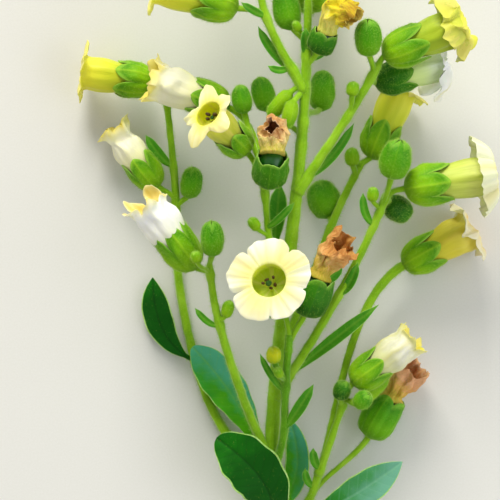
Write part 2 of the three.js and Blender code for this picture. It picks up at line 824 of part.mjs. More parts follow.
const leaves = [
  {
    name: "front_leaf",
    carrier: "main_stem",
    at: 0.04,
    tip: [-6.8, -37.8, 14.2],
    bow: [4.9, 0, 4.9],
    halfWidth: 5.4,
    peak: 0.6,
    fold: 0.12,
  },
  {
    name: "left_leaf",
    carrier: "main_stem",
    at: 0.12,
    tip: [-11.8, -19.8, 4.6],
    bow: [1.5, 0.6, -0.4],
    halfWidth: 3.5,
    peak: 0.66,
    fold: 0.3,
  },
  {
    name: "right_leaf",
    carrier: "right_low_branch",
    at: 0.36,
    tip: [31, -43, 8.2],
    bow: [-1.8, -2.4, 1.8],
    halfWidth: 3.5,
    peak: 0.55,
    fold: 0.35,
  },
  {
    name: "inner_leaf",
    carrier: "main_stem",
    at: 0.06,
    tip: [7.8, -34, 5],
    bow: [3.7, -1.5, -1.5],
    halfWidth: 2.5,
    peak: 0.5,
    fold: 0.2,
  },
  {
    name: "long_bract",
    carrier: "right_lower_branch",
    at: 0.12,
    tip: [25.8, -11, 16.6],
    bow: [-2.7, -2, -2],
    halfWidth: 1.3,
    peak: 0.5,
    fold: 0.5,
  },
  {
    name: "middle_leaf",
    carrier: "left_middle_branch",
    at: 0.34,
    tip: [6, 13.4, 16.4],
    bow: [-0.1, -0.6, -1.3],
    halfWidth: 1.9,
    peak: 0.6,
    fold: 0.2,
  },
  {
    name: "back_left_leaf",
    carrier: "back_left_branch",
    at: 0.36,
    tip: [-20, -5.6, 1.6],
    bow: [-2.1, -2.5, 0.6],
    halfWidth: 3,
    peak: 0.55,
    fold: 0.15,
  },
];

const limbCurves = Object.fromEntries(
  Object.entries(limbs).map(([name, { stations }]) => [name, smoothCurve(stations)]),
);

// A limb with the small buds and bracts that it carries. swell thickens all of it.
const carrierShape = (name, swell = 0) =>
  joined([
    limb(limbs[name].stations, name === "main_stem" ? { ...stemSize, swell } : { swell }),
    ...limbs[name].buds.map((row) => bud({ ...row, carrier: name, swell })),
    ...limbs[name].bracts.map((row) => leaf({ ...row, carrier: name, swell })),
  ]);

function build() {
  const whole = new THREE.Group();
  const gaps = Object.fromEntries(Object.keys(limbs).map((name) => [name, carrierShape(name, clearance)]));
  const add = (name, solid, finish) => {
    const mesh = new THREE.Mesh(geometryOf(solid), finish);
    mesh.name = name;
    whole.add(mesh);
  };
  // Trims a piece back from the limb that carries it.
  const trimmed = (solid, carrier) => largestBody(solid.subtract(gaps[carrier]));

  for (const name of Object.keys(limbs)) {
    const own = carrierShape(name);
    add(name, name === "main_stem" ? own : trimmed(own, "main_stem"), finishes.stem);
  }
  for (const row of blooms) {
    const { name, carrier, scale, stalkSize = stalkRadius } = row;
    const axes = axesAlong(vector(row.faces), row.turn);
    const foot = vector(row.foot);
    const kind = bloomKinds[row.kind];
    const cup = stalkLimb(row, axes.out, 0.9, stalkSize).add(calyx(foot, axes, kind, scale));
    add(`${name}_calyx`, trimmed(cup, carrier), finishes.calyx);
    add(`${name}_corolla`, corolla(foot, axes, kind, scale), finishes.corolla);
  }
  pods.forEach((row, index) => {
    const { name, carrier, cup, dried } = row;
    const axes = axesAlong(vector(row.faces));
    const foot = vector(row.foot);
    const pod = stalkLimb(row, axes.out, 0.9, stalkRadius).add(podInCalyx(foot, axes, cup));
    add(name, trimmed(pod, carrier), finishes.pod);
    add(`${name}_dried_corolla`, driedCorolla(foot, axes, cup, dried, index + 1), finishes.dried);
  });
  for (const row of largeBuds) {
    add(row.name, trimmed(bud(row), row.carrier), finishes.calyx);
  }
  for (const row of leaves) {
    add(row.name, trimmed(leaf(row), row.carrier), finishes.leaf);
  }
  whole.position.set(...layoutOffset);
  return whole;
}

export default build();
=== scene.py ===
from functools import partial
import math

import bmesh
import bpy
import numpy as np
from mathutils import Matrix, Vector


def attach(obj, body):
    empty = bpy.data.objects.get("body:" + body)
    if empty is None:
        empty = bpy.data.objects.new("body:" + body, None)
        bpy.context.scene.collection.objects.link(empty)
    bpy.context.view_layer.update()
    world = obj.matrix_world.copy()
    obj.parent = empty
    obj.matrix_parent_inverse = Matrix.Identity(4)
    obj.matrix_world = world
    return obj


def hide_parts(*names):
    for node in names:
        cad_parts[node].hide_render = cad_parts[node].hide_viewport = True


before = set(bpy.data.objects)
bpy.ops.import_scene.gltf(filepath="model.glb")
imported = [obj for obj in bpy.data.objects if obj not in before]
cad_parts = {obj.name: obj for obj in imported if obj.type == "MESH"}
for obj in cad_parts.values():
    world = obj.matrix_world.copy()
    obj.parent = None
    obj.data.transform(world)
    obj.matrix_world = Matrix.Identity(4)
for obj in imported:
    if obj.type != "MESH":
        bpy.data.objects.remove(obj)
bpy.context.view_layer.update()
print("frame loaded,", len(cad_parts), "nodes")

layoutOffset = np.array([-7.29, -7.11, 0.0])  # puts the frame's origin under the middle of the box
millimetre = 0.001
floorGap = 0.01  # nothing reaches lower than this above the surface
lobeCount = 5  # on a calyx and on a corolla
fullTurn = 2 * math.pi
lobeTurn = fullTurn / lobeCount


# Materials. Every pattern is read from "grain": millimetres or lobes across, millimetres along, and the
# share of the way from a piece's foot to its edge. Colours run over that share.

def linearColour(hexText):  # sRGB hex to what a shader takes
    channels = [int(hexText[i:i + 2], 16) / 255 for i in (1, 3, 5)]
    return (*(c / 12.92 if c <= 0.04045 else ((c + 0.055) / 1.055) ** 2.4 for c in channels), 1.0)


def addNode(tree, kind, inputs=None, stops=(), **settings):  # an input takes a value, hex, node or socket
    node = tree.nodes.new("ShaderNode" + kind)
    for name, value in settings.items():
        setattr(node, name, value)
    for name, value in (inputs or {}).items():
        if isinstance(value, bpy.types.Node):
            value = value.outputs[0]
        if isinstance(value, bpy.types.NodeSocket):
            tree.links.new(value, node.inputs[name])
        else:
            node.inputs[name].default_value = linearColour(value) if isinstance(value, str) else value
    for index, (place, colour) in enumerate(stops):
        elements = node.color_ramp.elements
        element = elements[index] if index < 2 else elements.new(place)  # a new ramp has two
        element.position = place
        element.color = linearColour(colour) if isinstance(colour, str) else (colour, colour, colour, 1)
    return node


def startMaterial(name):  # the material, what adds a node to it, and the grain, whole and in parts
    material = bpy.data.materials.new(name)
    material.use_nodes = True
    material.node_tree.nodes.clear()
    add = partial(addNode, material.node_tree)
    grain = add("Attribute", attribute_name="grain").outputs["Vector"]
    return material, add, grain, *add("SeparateXYZ", {"Vector": grain}).outputs


def unevenGround(add, share, pattern, swing, places, colours):  # a pattern moves the borders of the colours
    shifted = add("Math", {0: pattern, 1: swing, 2: -swing / 2}, operation="MULTIPLY_ADD")
    place = add("Math", {0: share, 1: shifted}, operation="ADD")
    return add("ValToRGB", {"Fac": place}, stops=zip(places, colours.split())), place


def lobeRib(add, across):  # 0 at the middle of a lobe, 0.5 where two lobes meet
    inLobe = add("Math", {0: across}, operation="FRACT")
    fromMiddle = add("Math", {0: inLobe, 1: 0.5}, operation="SUBTRACT")
    return add("Math", {0: fromMiddle}, operation="ABSOLUTE")


def veined(add, ground, vein, lines, amount):  # the ground with the vein's colour where lines are
    drawn = add("Math", {0: lines, 1: amount}, operation="MULTIPLY")
    return add("Mix", {0: drawn, 6: ground, 7: vein}, data_type="RGBA", clamp_factor=True).outputs[2]


def closeMaterial(add, colour, relief, strength, depth, shader):  # depth of the relief in mm
    bump = add("Bump", {"Height": relief, "Strength": strength, "Distance": depth * millimetre})
    surface = add("BsdfPrincipled", {"Base Color": colour, "Normal": bump, **shader})
    add("OutputMaterial", {"Surface": surface})


# Ribbed green bark of a herb under down: matt, with a pale sheen at its rims.
def liveStemSkin(name, colours):
    material, add, grain = startMaterial(name)[:3]
    mottle = add("TexNoise", {"Vector": grain, "Scale": 0.22, "Detail": 3})  # patches of 4 mm
    ground = add("ValToRGB", {"Fac": mottle}, stops=zip((0.3, 0.52, 0.72), colours.split()))
    strands = add("VectorMath", {0: grain, 1: (3.2, 0.3, 0)}, operation="MULTIPLY")
    fibres = add("TexNoise", {"Vector": strands, "Scale": 1, "Detail": 2})  # ribs 0.3 mm apart
    lines = add("ValToRGB", {"Fac": fibres}, stops=[(0.38, 0.8), (0.6, 1)])
    colour = add("Mix", {0: 0.6, 6: ground, 7: lines}, data_type="RGBA", blend_type="MULTIPLY")
    closeMaterial(add, colour.outputs[2], fibres, 0.5, 0.12, {
        "Roughness": 0.6, "IOR": 1.36, "Specular IOR Level": 0.3, "Sheen Weight": 1,
        "Sheen Roughness": 0.4, "Sheen Tint": "#f2ffd0",
    })
    return material


# Soft netted leaf skin: matt, with veins a shade apart.
def sepalSkin(name, colours, vein, veinShare=0.35):
    material, add, grain, across, along, share = startMaterial(name)
    cells = add("VectorMath", {0: grain, 1: (3.4, 0.75, 0)}, operation="MULTIPLY")
    net = add("TexVoronoi", {"Vector": cells, "Scale": 1}, feature="DISTANCE_TO_EDGE")  # 1 mm net
    netLine = add("ValToRGB", {"Fac": net.outputs["Distance"]}, stops=[(0, 1), (0.09, 0)])
    rib = add("ValToRGB", {"Fac": lobeRib(add, across)}, stops=[(0, 1), (0.035, 0.5), (0.075, 0)])
    lines = add("Math", {0: netLine, 1: 0.3, 2: rib}, operation="MULTIPLY_ADD")
    mottle = add("TexNoise", {"Vector": cells, "Scale": 0.5, "Detail": 3})
    ground = unevenGround(add, share, mottle, 0.4, (0, 0.3, 0.62, 0.86, 1), colours)[0]
    closeMaterial(add, veined(add, ground, vein, lines, veinShare), lines, 0.35, 0.1, {
        "Roughness": 0.6, "IOR": 1.36, "Specular IOR Level": 0.3, "Sheen Weight": 0.8,
        "Sheen Roughness": 0.3, "Sheen Tint": "#dcf08c",
    })
    return material


# Living petal: satin, pleated and veined in fans. Its colours run from the foot of the tube out to the edge
# of the limb and back down the throat, where they darken towards the floor: partly the throat's own greener
# tissue, partly painted shade.
petalPlaces = (0, 0.22, 0.36, 0.5, 0.6, 0.72, 0.78, 0.9, 1)


def petalTissue(name, colours, vein, veinShare=0.3, blotch="#ecd870", blotchShare=0.55):
    material, add, grain, across, along, share = startMaterial(name)
    fan = add("VectorMath", {0: grain, 1: (9, 0.22, 0)}, operation="MULTIPLY")
    pleats = add("TexNoise", {"Vector": fan, "Scale": 1, "Detail": 3})  # nine to a lobe
    rib = add("ValToRGB", {"Fac": lobeRib(add, across)}, stops=[(0, 1), (0.05, 0.7), (0.16, 0)])
    streak = add("ValToRGB", {"Fac": pleats}, stops=[(0.45, 0), (0.66, 1)])
    lines = add("Math", {0: streak, 1: 0.45, 2: rib}, operation="MULTIPLY_ADD")
    mottle = add("TexNoise", {"Vector": fan, "Scale": 0.35, "Detail": 2})
    shifted = add("Math", {0: mottle, 1: 0.08, 2: -0.04}, operation="MULTIPLY_ADD")
    half = add("Math", {0: share, 1: 0.5, 2: shifted}, operation="MULTIPLY_ADD")
    ground = add("ValToRGB", {"Fac": half}, stops=zip(petalPlaces, colours.split()))
    patches = add("TexNoise", {"Vector": fan, "Scale": 0.13, "Detail": 1, "Distortion": 0.6})
    faded = add("ValToRGB", {"Fac": patches}, stops=[(0.44, 0), (0.6, 1)])  # one or two a bloom
    onFace = add("ValToRGB", {"Fac": half}, stops=[(0.42, 0), (0.52, 1), (0.7, 1), (0.74, 0)])
    patch = add("Math", {0: faded, 1: onFace}, operation="MULTIPLY")
    patchAmount = add("Math", {0: patch, 1: blotchShare}, operation="MULTIPLY")
    patched = add("Mix", {0: patchAmount, 6: ground, 7: blotch}, data_type="RGBA").outputs[2]
    amount = add("Math", {0: lines, 1: veinShare}, operation="MULTIPLY")
    onTube = add("ValToRGB", {"Fac": half}, stops=[(0.34, 1), (0.5, 0.25), (0.75, 0.25), (0.8, 1)])
    colour = veined(add, patched, vein, amount, onTube)  # its face is plainer than the tube
    closeMaterial(add, colour, pleats, 0.45, 0.2, {
        "Roughness": 0.5, "IOR": 1.4, "Subsurface Weight": 0.25, "Subsurface Scale": 0.0012,
        "Subsurface Radius": (0.9, 1, 0.5), "Sheen Weight": 0.12, "Sheen Roughness": 0.5,
    })
    return material


# Dried petal: papery and dull, browner in the creases and at the tip.
def witheredTissue(name, colours):
    material, add, grain, across, along, share = startMaterial(name)
    fan = add("VectorMath", {0: grain, 1: (2.2, 0.5, 0)}, operation="MULTIPLY")
    creases = add("TexNoise", {"Vector": fan, "Scale": 1.6, "Detail": 4, "Distortion": 0.8})  # 0.3 mm wide
    ground = unevenGround(add, share, creases, 0.9, (0, 0.25, 0.5, 0.75, 1), colours)[0]
    closeMaterial(add, ground, creases, 0.7, 0.25, {
        "Roughness": 0.75, "IOR": 1.45, "Subsurface Weight": 0.1, "Subsurface Scale": 0.0005,
    })
    return material


# Ripening capsule: smooth and firm, so it keeps a soft highlight.
def podWall(name, colours):
    material, add, grain, across, along, share = startMaterial(name)
    mottle = add("TexNoise", {"Vector": grain, "Scale": 0.9, "Detail": 3})  # spots of 1 mm
    ground = unevenGround(add, share, mottle, 0.4, (0, 0.5, 1), colours)[0]
    closeMaterial(add, ground, mottle, 0.15, 0.08, {
        "Roughness": 0.36, "IOR": 1.45, "Coat Weight": 0.15, "Coat Roughness": 0.3,
    })
    return material


# Grown leaf skin: satin, with side veins 2 mm apart. A lit colour, where given, is a painted sky reflection.
def leafBlade(name, colours, vein, roughness, lit=None):
    material, add, grain, across, along, share = startMaterial(name)
    aside = add("Math", {0: across}, operation="ABSOLUTE")
    slant = add("Math", {0: aside, 1: -0.75, 2: along}, operation="MULTIPLY_ADD")
    spaced = add("Math", {0: slant, 1: 1.1}, operation="PINGPONG")  # half of 2.2 mm
    sideVein = add("ValToRGB", {"Fac": spaced}, stops=[(0, 1), (0.1, 0.35), (0.3, 0)])
    midVein = add("ValToRGB", {"Fac": aside}, stops=[(0, 1), (0.14, 0.8), (0.34, 0)])
    lines = add("Math", {0: sideVein, 1: 0.5, 2: midVein}, operation="MULTIPLY_ADD")
    mottle = add("TexNoise", {"Vector": grain, "Scale": 0.35, "Detail": 4})  # patches of 3 mm
    ground, place = unevenGround(add, share, mottle, 0.7, (0, 0.35, 0.7, 1), colours)
    if lit:  # painted sky reflection: the blade turns to the lit colour towards one margin and the tip
        turned = add("Math", {0: across, 1: 0.17, 2: place}, operation="MULTIPLY_ADD")
        paintedSkyShare = add("ValToRGB", {"Fac": turned}, stops=[(0.35, 0), (1.1, 1)])
        ground = add("Mix", {0: paintedSkyShare, 6: ground, 7: lit}, data_type="RGBA").outputs[2]
    pores = add("TexNoise", {"Vector": grain, "Scale": 4, "Detail": 2})  # blisters of 0.25 mm
    relief = add("Math", {0: lines, 1: -1.2, 2: pores}, operation="MULTIPLY_ADD")
    closeMaterial(add, veined(add, ground, vein, lines, 0.45), relief, 0.35, 0.1, {
        "Roughness": roughness, "IOR": 1.4, "Specular IOR Level": 0.2, "Sheen Weight": 0.1,
        "Sheen Roughness": 0.4, "Sheen Tint": "#c8e8a0",
    })
    return material


# Small soft parts: one tint, a shade lighter in places, so that they don't look flat.
def plainTissue(name, low, high, roughness, scale):  # scale: how many spots to a millimetre
    material, add, grain = startMaterial(name)[:3]
    mottle = add("TexNoise", {"Vector": grain, "Scale": scale, "Detail": 2})
    ground = add("ValToRGB", {"Fac": mottle}, stops=[(0.35, low), (0.65, high)])
    closeMaterial(add, ground, mottle, 0.2, 0.05, {
        "Roughness": roughness, "IOR": 1.42, "Subsurface Weight": 0.1, "Subsurface Scale": 0.0004,
    })
    return material


finishes = {
    "stem": liveStemSkin("live stem, ribbed and downy", "#7cb004 #90c40a #a4d22e"),
    "darkStem": liveStemSkin("live stalk in shade, downy", "#528e00 #62a400 #7cba10"),
    "calyx": sepalSkin("sepal, netted and downy", "#6c9c04 #86ba00 #70ac00 #4f9200 #8cc034", "#b8dc30"),
    # A darker copy of the calyx for sepals that lie in shade: partly their own darker green, partly painted
    # shade.
    "darkCalyx": sepalSkin("sepal darkened as painted shade, netted",
        "#2a6200 #225c00 #2e7000 #307400 #6ca02c", "#3f8008"),
    "podCalyx": sepalSkin("sepal round a pod, lighter",
        "#3c7400 #347000 #408200 #3c8000 #7cb034", "#64a010"),
    "sepalInside": sepalSkin("inside of a sepal", "#3d6b10 #4c7f14 #5c9018 #6fa028 #9dc860", "#7fae34"),
    "bud": sepalSkin("closed bud, downy", "#5a9600 #66a800 #509c00 #3e8800 #74b02c", "#8cc020", 0.25),
    "paleBud": sepalSkin("young bud, downy", "#74a400 #8cbc00 #80b400 #6ca800 #98c840", "#acd43c", 0.25),
    "yellowBud": sepalSkin("opening bud, yellow", "#84a800 #b4c404 #ccd010 #b0bc08 #b8c840", "#d8dc50", 0.3),
    # The cream and star petals colour their throat walls brighter than the tissue: painted light let through
    # the tube.
    "creamPetal": petalTissue("cream petal, pleated",
        "#a9bd2e #ccd348 #e8e88c #fbfae2 #f7f5cc #eeec9c #f0f428 #ecf618 #a4c008", "#ddd880", 0.6),
    "paleCreamPetal": petalTissue("pale petal with a striped tube",
        "#a6bc34 #d2de5c #e6ea8c #f8f8c8 #fafad0 #f0f0a0 #cdd14a #afb824 #8f9e18", "#b3c23c", 0.8),
    "yellowPetal": petalTissue("yellow petal, pleated",
        "#a0b818 #cdd41e #ebe634 #f4ee60 #f7f27c #f0ea5e #d8dc1c #d0d614 #b0bc0c", "#d9d535"),
    "starPetal": petalTissue("pale yellow petal, spread",
        "#8fa414 #b8c028 #dcd84a #f8f2b0 #faf6b8 #f2ea6c #eef00c #ecec08 #ccd804", "#ddd060", 0.5),
    "lemonPetal": petalTissue("lemon petal, crumpled",
        "#97b414 #aec41c #c4d22a #e0e044 #efec48 #e6e43c #c2c91e #a9b619 #8a9c12", "#8fae1c", 0.45),
    "amberPetal": petalTissue("old petal, amber and blush",
        "#b4bc2c #dcd030 #f0e058 #f8f0c4 #f6e8b4 #f0d470 #d8b848 #c8a838 #a89030",
        "#c8b038", 0.3, "#f0b868", 0.6),
    "fadedPetal": petalTissue("faded petal, cream and yellow",
        "#e4e080 #f8f4c4 #fdf9d8 #f4e060 #ecd428 #e8d450 #d8cc50 #c0b838 #98a034", "#e8e0a0", 0.3),
    "whitePetal": petalTissue("faded petal, bleached",
        "#e4e4a0 #fcfbe4 #fffff8 #fcf0b0 #ecc850 #ecd27a #cfc860 #b7b548 #98a034", "#f4ecc4", 0.22),
    "agedPetal": petalTissue("aged petal, yellow at its edge",
        "#bcc470 #dcdca4 #ecead0 #e8e078 #dcd038 #dcc850 #cfc860 #b7b548 #98a034", "#d8d078", 0.5),
    "mintPetal": petalTissue("pale green petal, faded",
        "#c8dc64 #e6f6a4 #f4ffe8 #ffffff #ffffff #f4fff4 #cfd8a0 #b7c080 #98a860", "#c4d690", 0.4),
    # The inner sides below are browner than the outer ones and darken the deeper they run into the sock:
    # partly their own tone, partly painted shade.
    "dried": witheredTissue("dried petal, papery", "#a89a1c #c8a83c #e0b470 #dca058 #b87834"),
    "driedInside": witheredTissue("dried petal, inner side", "#5c2c08 #844410 #a86018 #b87420 #d09a50"),
    "driedPale": witheredTissue("newly dried petal, papery", "#bcae3a #dcc470 #ecd088 #e2b070 #c4884a"),
    "driedPaleInside": witheredTissue("newly dried petal, inner side",
        "#3c240c #6a4018 #a06a34 #cc9460 #e4b888"),
    "driedTan": witheredTissue("dried petal, smooth", "#b8ac34 #d4b040 #e0a858 #e0a878 #d09868"),
    "driedTanInside": witheredTissue("dried petal, smooth inner side",
        "#6a3c10 #945c20 #b87c3c #d09858 #e0b080"),
    "driedYellow": witheredTissue("yellow dried petal, papery", "#cccc4a #ecdc70 #e8d41c #e0c81c #b88c18"),
    "driedYellowInside": witheredTissue("yellow dried petal, inner side",
        "#6a4a10 #94701a #b89024 #d8b434 #e8d060"),
    # Near-black greens, darkest at the foot: partly the capsule's own dark green, partly painted shade for a
    # capsule deep in its cup.
    "pod": podWall("seed pod, smooth", "#0a3806 #0e480a #165c10"),
    "leafTop": leafBlade("leaf, upper side", "#0a6000 #065400 #065000 #106800", "#043400", 0.62),
    # The two upper sides below grow bluer towards the tip and, towards one margin, into a bluish lit colour:
    # painted sky reflection.
    "leafTopYoung": leafBlade("young leaf, upper side",
        "#62b400 #54ac04 #3c9a1c #2c8e34", "#68b048", 0.6, "#50ac84"),
    "leafTopBlue": leafBlade("leaf with painted sky reflection, upper side",
        "#2a8418 #368c34 #4c985c #62a480", "#7cb890", 0.6, "#68a688"),
    "leafUnder": leafBlade("leaf, underside", "#4f9a1c #4a9a20 #459628 #56a448", "#9ccb62", 0.6),
    "bract": leafBlade("bract, downy", "#5a9c10 #4a9410 #3f8c14 #58a028", "#78b030", 0.58),
    "margin": plainTissue("leaf margin, pale", "#98cc58", "#b8e084", 0.6, 1.5),
    "cortex": plainTissue("cut rind, wet green", "#7fa63a", "#98b854", 0.35, 2),
    "pith": plainTissue("cut pith, spongy", "#d5dcab", "#e9ecc9", 0.7, 2.5),
    "anther": plainTissue("anther, ripe", "#32240a", "#5c4212", 0.7, 6),
    "filament": plainTissue("filament, pale", "#b9bf3a", "#d0d060", 0.5, 4),
    "stigma": plainTissue("stigma, green", "#1c4402", "#305c06", 0.9, 4),
    "down": plainTissue("down, clear hairs", "#98c838", "#b8e058", 0.5, 3),
}
finishNames = list(finishes)
print("materials made,", len(finishes))


# Surfaces. A surface gathers patches in millimetres, and becomes one mesh.

def unit(vectors):
    return vectors / np.linalg.norm(vectors, axis=-1, keepdims=True)


def ease(share):  # from 0 to 1 with a soft start and end
    share = np.clip(share, 0, 1)
    return share * share * (3 - 2 * share)


def hump(away, width):  # 1 at a line, falling to nothing on both sides
    return np.exp(-(away / width) ** 2)


# Smooth swings between about -1 and 1, size mm from crest to crest.
def wobble(points, size, seed, waves=7):
    chance = np.random.default_rng(seed)
    headings = unit(chance.normal(size=(waves, 3))) * (fullTurn / size)
    headings = headings * chance.uniform(0.6, 1.5, (waves, 1))
    return np.sin(points @ headings.T + chance.uniform(0, fullTurn, waves)).sum(-1) / math.sqrt(waves)


def swirl(points, size, seed, waves=7):  # the same swings in three directions
    flat = points.reshape(-1, 3)
    return np.stack([wobble(flat, size, seed + part, waves) for part in range(3)], -1).reshape(points.shape)


def smoothCurve(stations):  # a centripetal curve through the stations: a function from shares to places
    points = np.array([station[:3] for station in stations], float)
    ends = (2 * points[0] - points[1], 2 * points[-1] - points[-2])
    points = np.vstack([ends[0], points, ends[1]])
    spans = len(points) - 3

    def place(shares):
        along = np.clip(np.asarray(shares, float), 0, 1) * spans
        before = np.minimum(along.astype(int), spans - 1)
        t = (along - before)[..., None]
        a, b, c, d = (points[before + i] for i in range(4))
        ab, bc, cd = (np.sqrt(np.linalg.norm(q - p, axis=-1, keepdims=True))
                      for p, q in ((a, b), (b, c), (c, d)))
        leave = ((b - a) / ab - (c - a) / (ab + bc) + (c - b) / bc) * bc
        arrive = ((c - b) / bc - (d - b) / (bc + cd) + (d - c) / cd) * bc
        return (b + leave * t + (3 * c - 3 * b - 2 * leave - arrive) * t ** 2
                + (2 * b - 2 * c + leave + arrive) * t ** 3)

    return place


def headingAt(curve, share):
    step = 1e-4
    return unit(curve(min(share + step, 1)) - curve(max(share - step, 0)))


def bowed(start, tip, bow, t):  # places on a line whose middle stands off the straight one by bow
    middle = (start + tip) / 2 + bow * 2
    return start * (1 - t) ** 2 + 2 * middle * t * (1 - t) + tip * t ** 2


def profileOf(stations):  # a smooth radius for any distance along an axis
    curve = smoothCurve([(along, radius, 0) for along, radius in stations])(np.linspace(0, 1, 80))
    return lambda along: np.interp(along, curve[:, 0], curve[:, 1])


def axesAlong(direction, turn=0):  # along the piece, and two across it, turned by degrees
    out = unit(np.array(direction, float))
    helper = np.array([0, 0, 1.0]) if abs(out[2]) < 0.8 else np.array([0, 1.0, 0])
    side = unit(np.cross(helper, out))
    angle = math.radians(turn)
    across = side * math.cos(angle) + np.cross(out, side) * math.sin(angle)
    return out, across, np.cross(out, across)


def axesOf(row):
    return axesAlong(row["faces"], row["turn"])


def carriedAxes(places):  # axes at each place of a path, without a twist along it
    outs = unit(np.gradient(places, axis=0))
    across = axesAlong(outs[0])[1]
    acrosses = []
    for out in outs:
        across = unit(across - out * np.dot(across, out))
        acrosses.append(across)
    acrosses = np.array(acrosses)
    return outs, acrosses, np.cross(outs, acrosses)


def roundOf(across, over, angle):  # which way each angle looks
    return across * np.cos(angle)[..., None] + over * np.sin(angle)[..., None]


def lengthsAlong(places):
    steps = np.linalg.norm(np.diff(places, axis=0), axis=1)
    return np.concatenate([[0], np.cumsum(steps)])


def newSurface():
    return {"points": [], "faces": [], "grain": [], "finish": [], "down": [], "count": 0}


# rows x columns of points, with one more column of grain where the patch goes round. Faces point to the
# side from which the columns run to the left while the rows go away.
def addPatch(surface, points, grain, finish, around=False, down=None):
    rows, columns = points.shape[:2]
    spans = columns if around else columns - 1
    row, column = np.meshgrid(np.arange(rows - 1), np.arange(spans), indexing="ij")
    corners = ((row, column), (row, column + 1), (row + 1, column + 1), (row + 1, column))
    faces = np.stack([r * columns + c % columns for r, c in corners], -1).reshape(-1, 4)
    surface["points"].append(points.reshape(-1, 3))
    surface["faces"].append(faces + surface["count"])
    surface["grain"].append(np.stack([grain[r, c] for r, c in corners], 2).reshape(-1, 4, 3))
    kinds = [finish] if isinstance(finish, str) else finish  # one for all, or one for each band of rows
    order = np.array([finishNames.index(kind) for kind in kinds])
    surface["finish"].append(np.broadcast_to(order[:, None], row.shape).reshape(-1))
    surface["count"] += rows * columns
    if down:
        lowest, highest = down.get("rows", (0, rows - 1))
        flat = points.reshape(-1, 3)
        kept = faces[((row >= lowest) & (row < highest)).reshape(-1)]
        surface["down"].append((flat[kept], down))


def grainRound(columns, across, along, share):  # grain of a patch that goes round
    shape = (len(along), columns + 1)
    parts = (across, np.array(along)[:, None], np.array(share)[:, None])
    return np.stack([np.broadcast_to(part, shape) for part in parts], -1)


def meshObject(name, surface, weld=True):
    points = np.vstack(surface["points"])
    points[:, 2] = np.maximum(points[:, 2], floorGap)
    faces = np.vstack(surface["faces"])
    grain = np.vstack(surface["grain"])
    finish = np.concatenate(surface["finish"])
    sides = faces.shape[1]
    mesh = bpy.data.meshes.new(name)
    mesh.vertices.add(len(points))
    mesh.vertices.foreach_set("co", ((points + layoutOffset) * millimetre).ravel())
    mesh.loops.add(faces.size)
    mesh.loops.foreach_set("vertex_index", faces.ravel())
    mesh.polygons.add(len(faces))
    mesh.polygons.foreach_set("loop_start", np.arange(0, faces.size, sides))
    used = sorted(set(finish.tolist()))
    for index in used:
        mesh.materials.append(finishes[finishNames[index]])
    mesh.polygons.foreach_set("material_index", np.searchsorted(used, finish))
    mesh.polygons.foreach_set("use_smooth", np.ones(len(faces), bool))
    mesh.attributes.new("grain", "FLOAT_VECTOR", "CORNER").data.foreach_set("vector", grain.ravel())
    mesh.update()
    mesh.validate()
    if weld:  # closes seams and drops faces that shrank to a line
        work = bmesh.new()
        work.from_mesh(mesh)
        bmesh.ops.remove_doubles(work, verts=work.verts, dist=2e-6)
        work.to_mesh(mesh)
        work.free()
    piece = bpy.data.objects.new(name, mesh)
    bpy.context.scene.collection.objects.link(piece)
    return piece


downRoots = []  # the patches that grow hairs


def settle(name, surface, slot, *nodes):  # makes the mesh and puts it in the place of its CAD solids
    piece = meshObject(name, surface)
    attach(piece, "root")
    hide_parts(*nodes)
    downRoots.extend(surface["down"])
    return piece


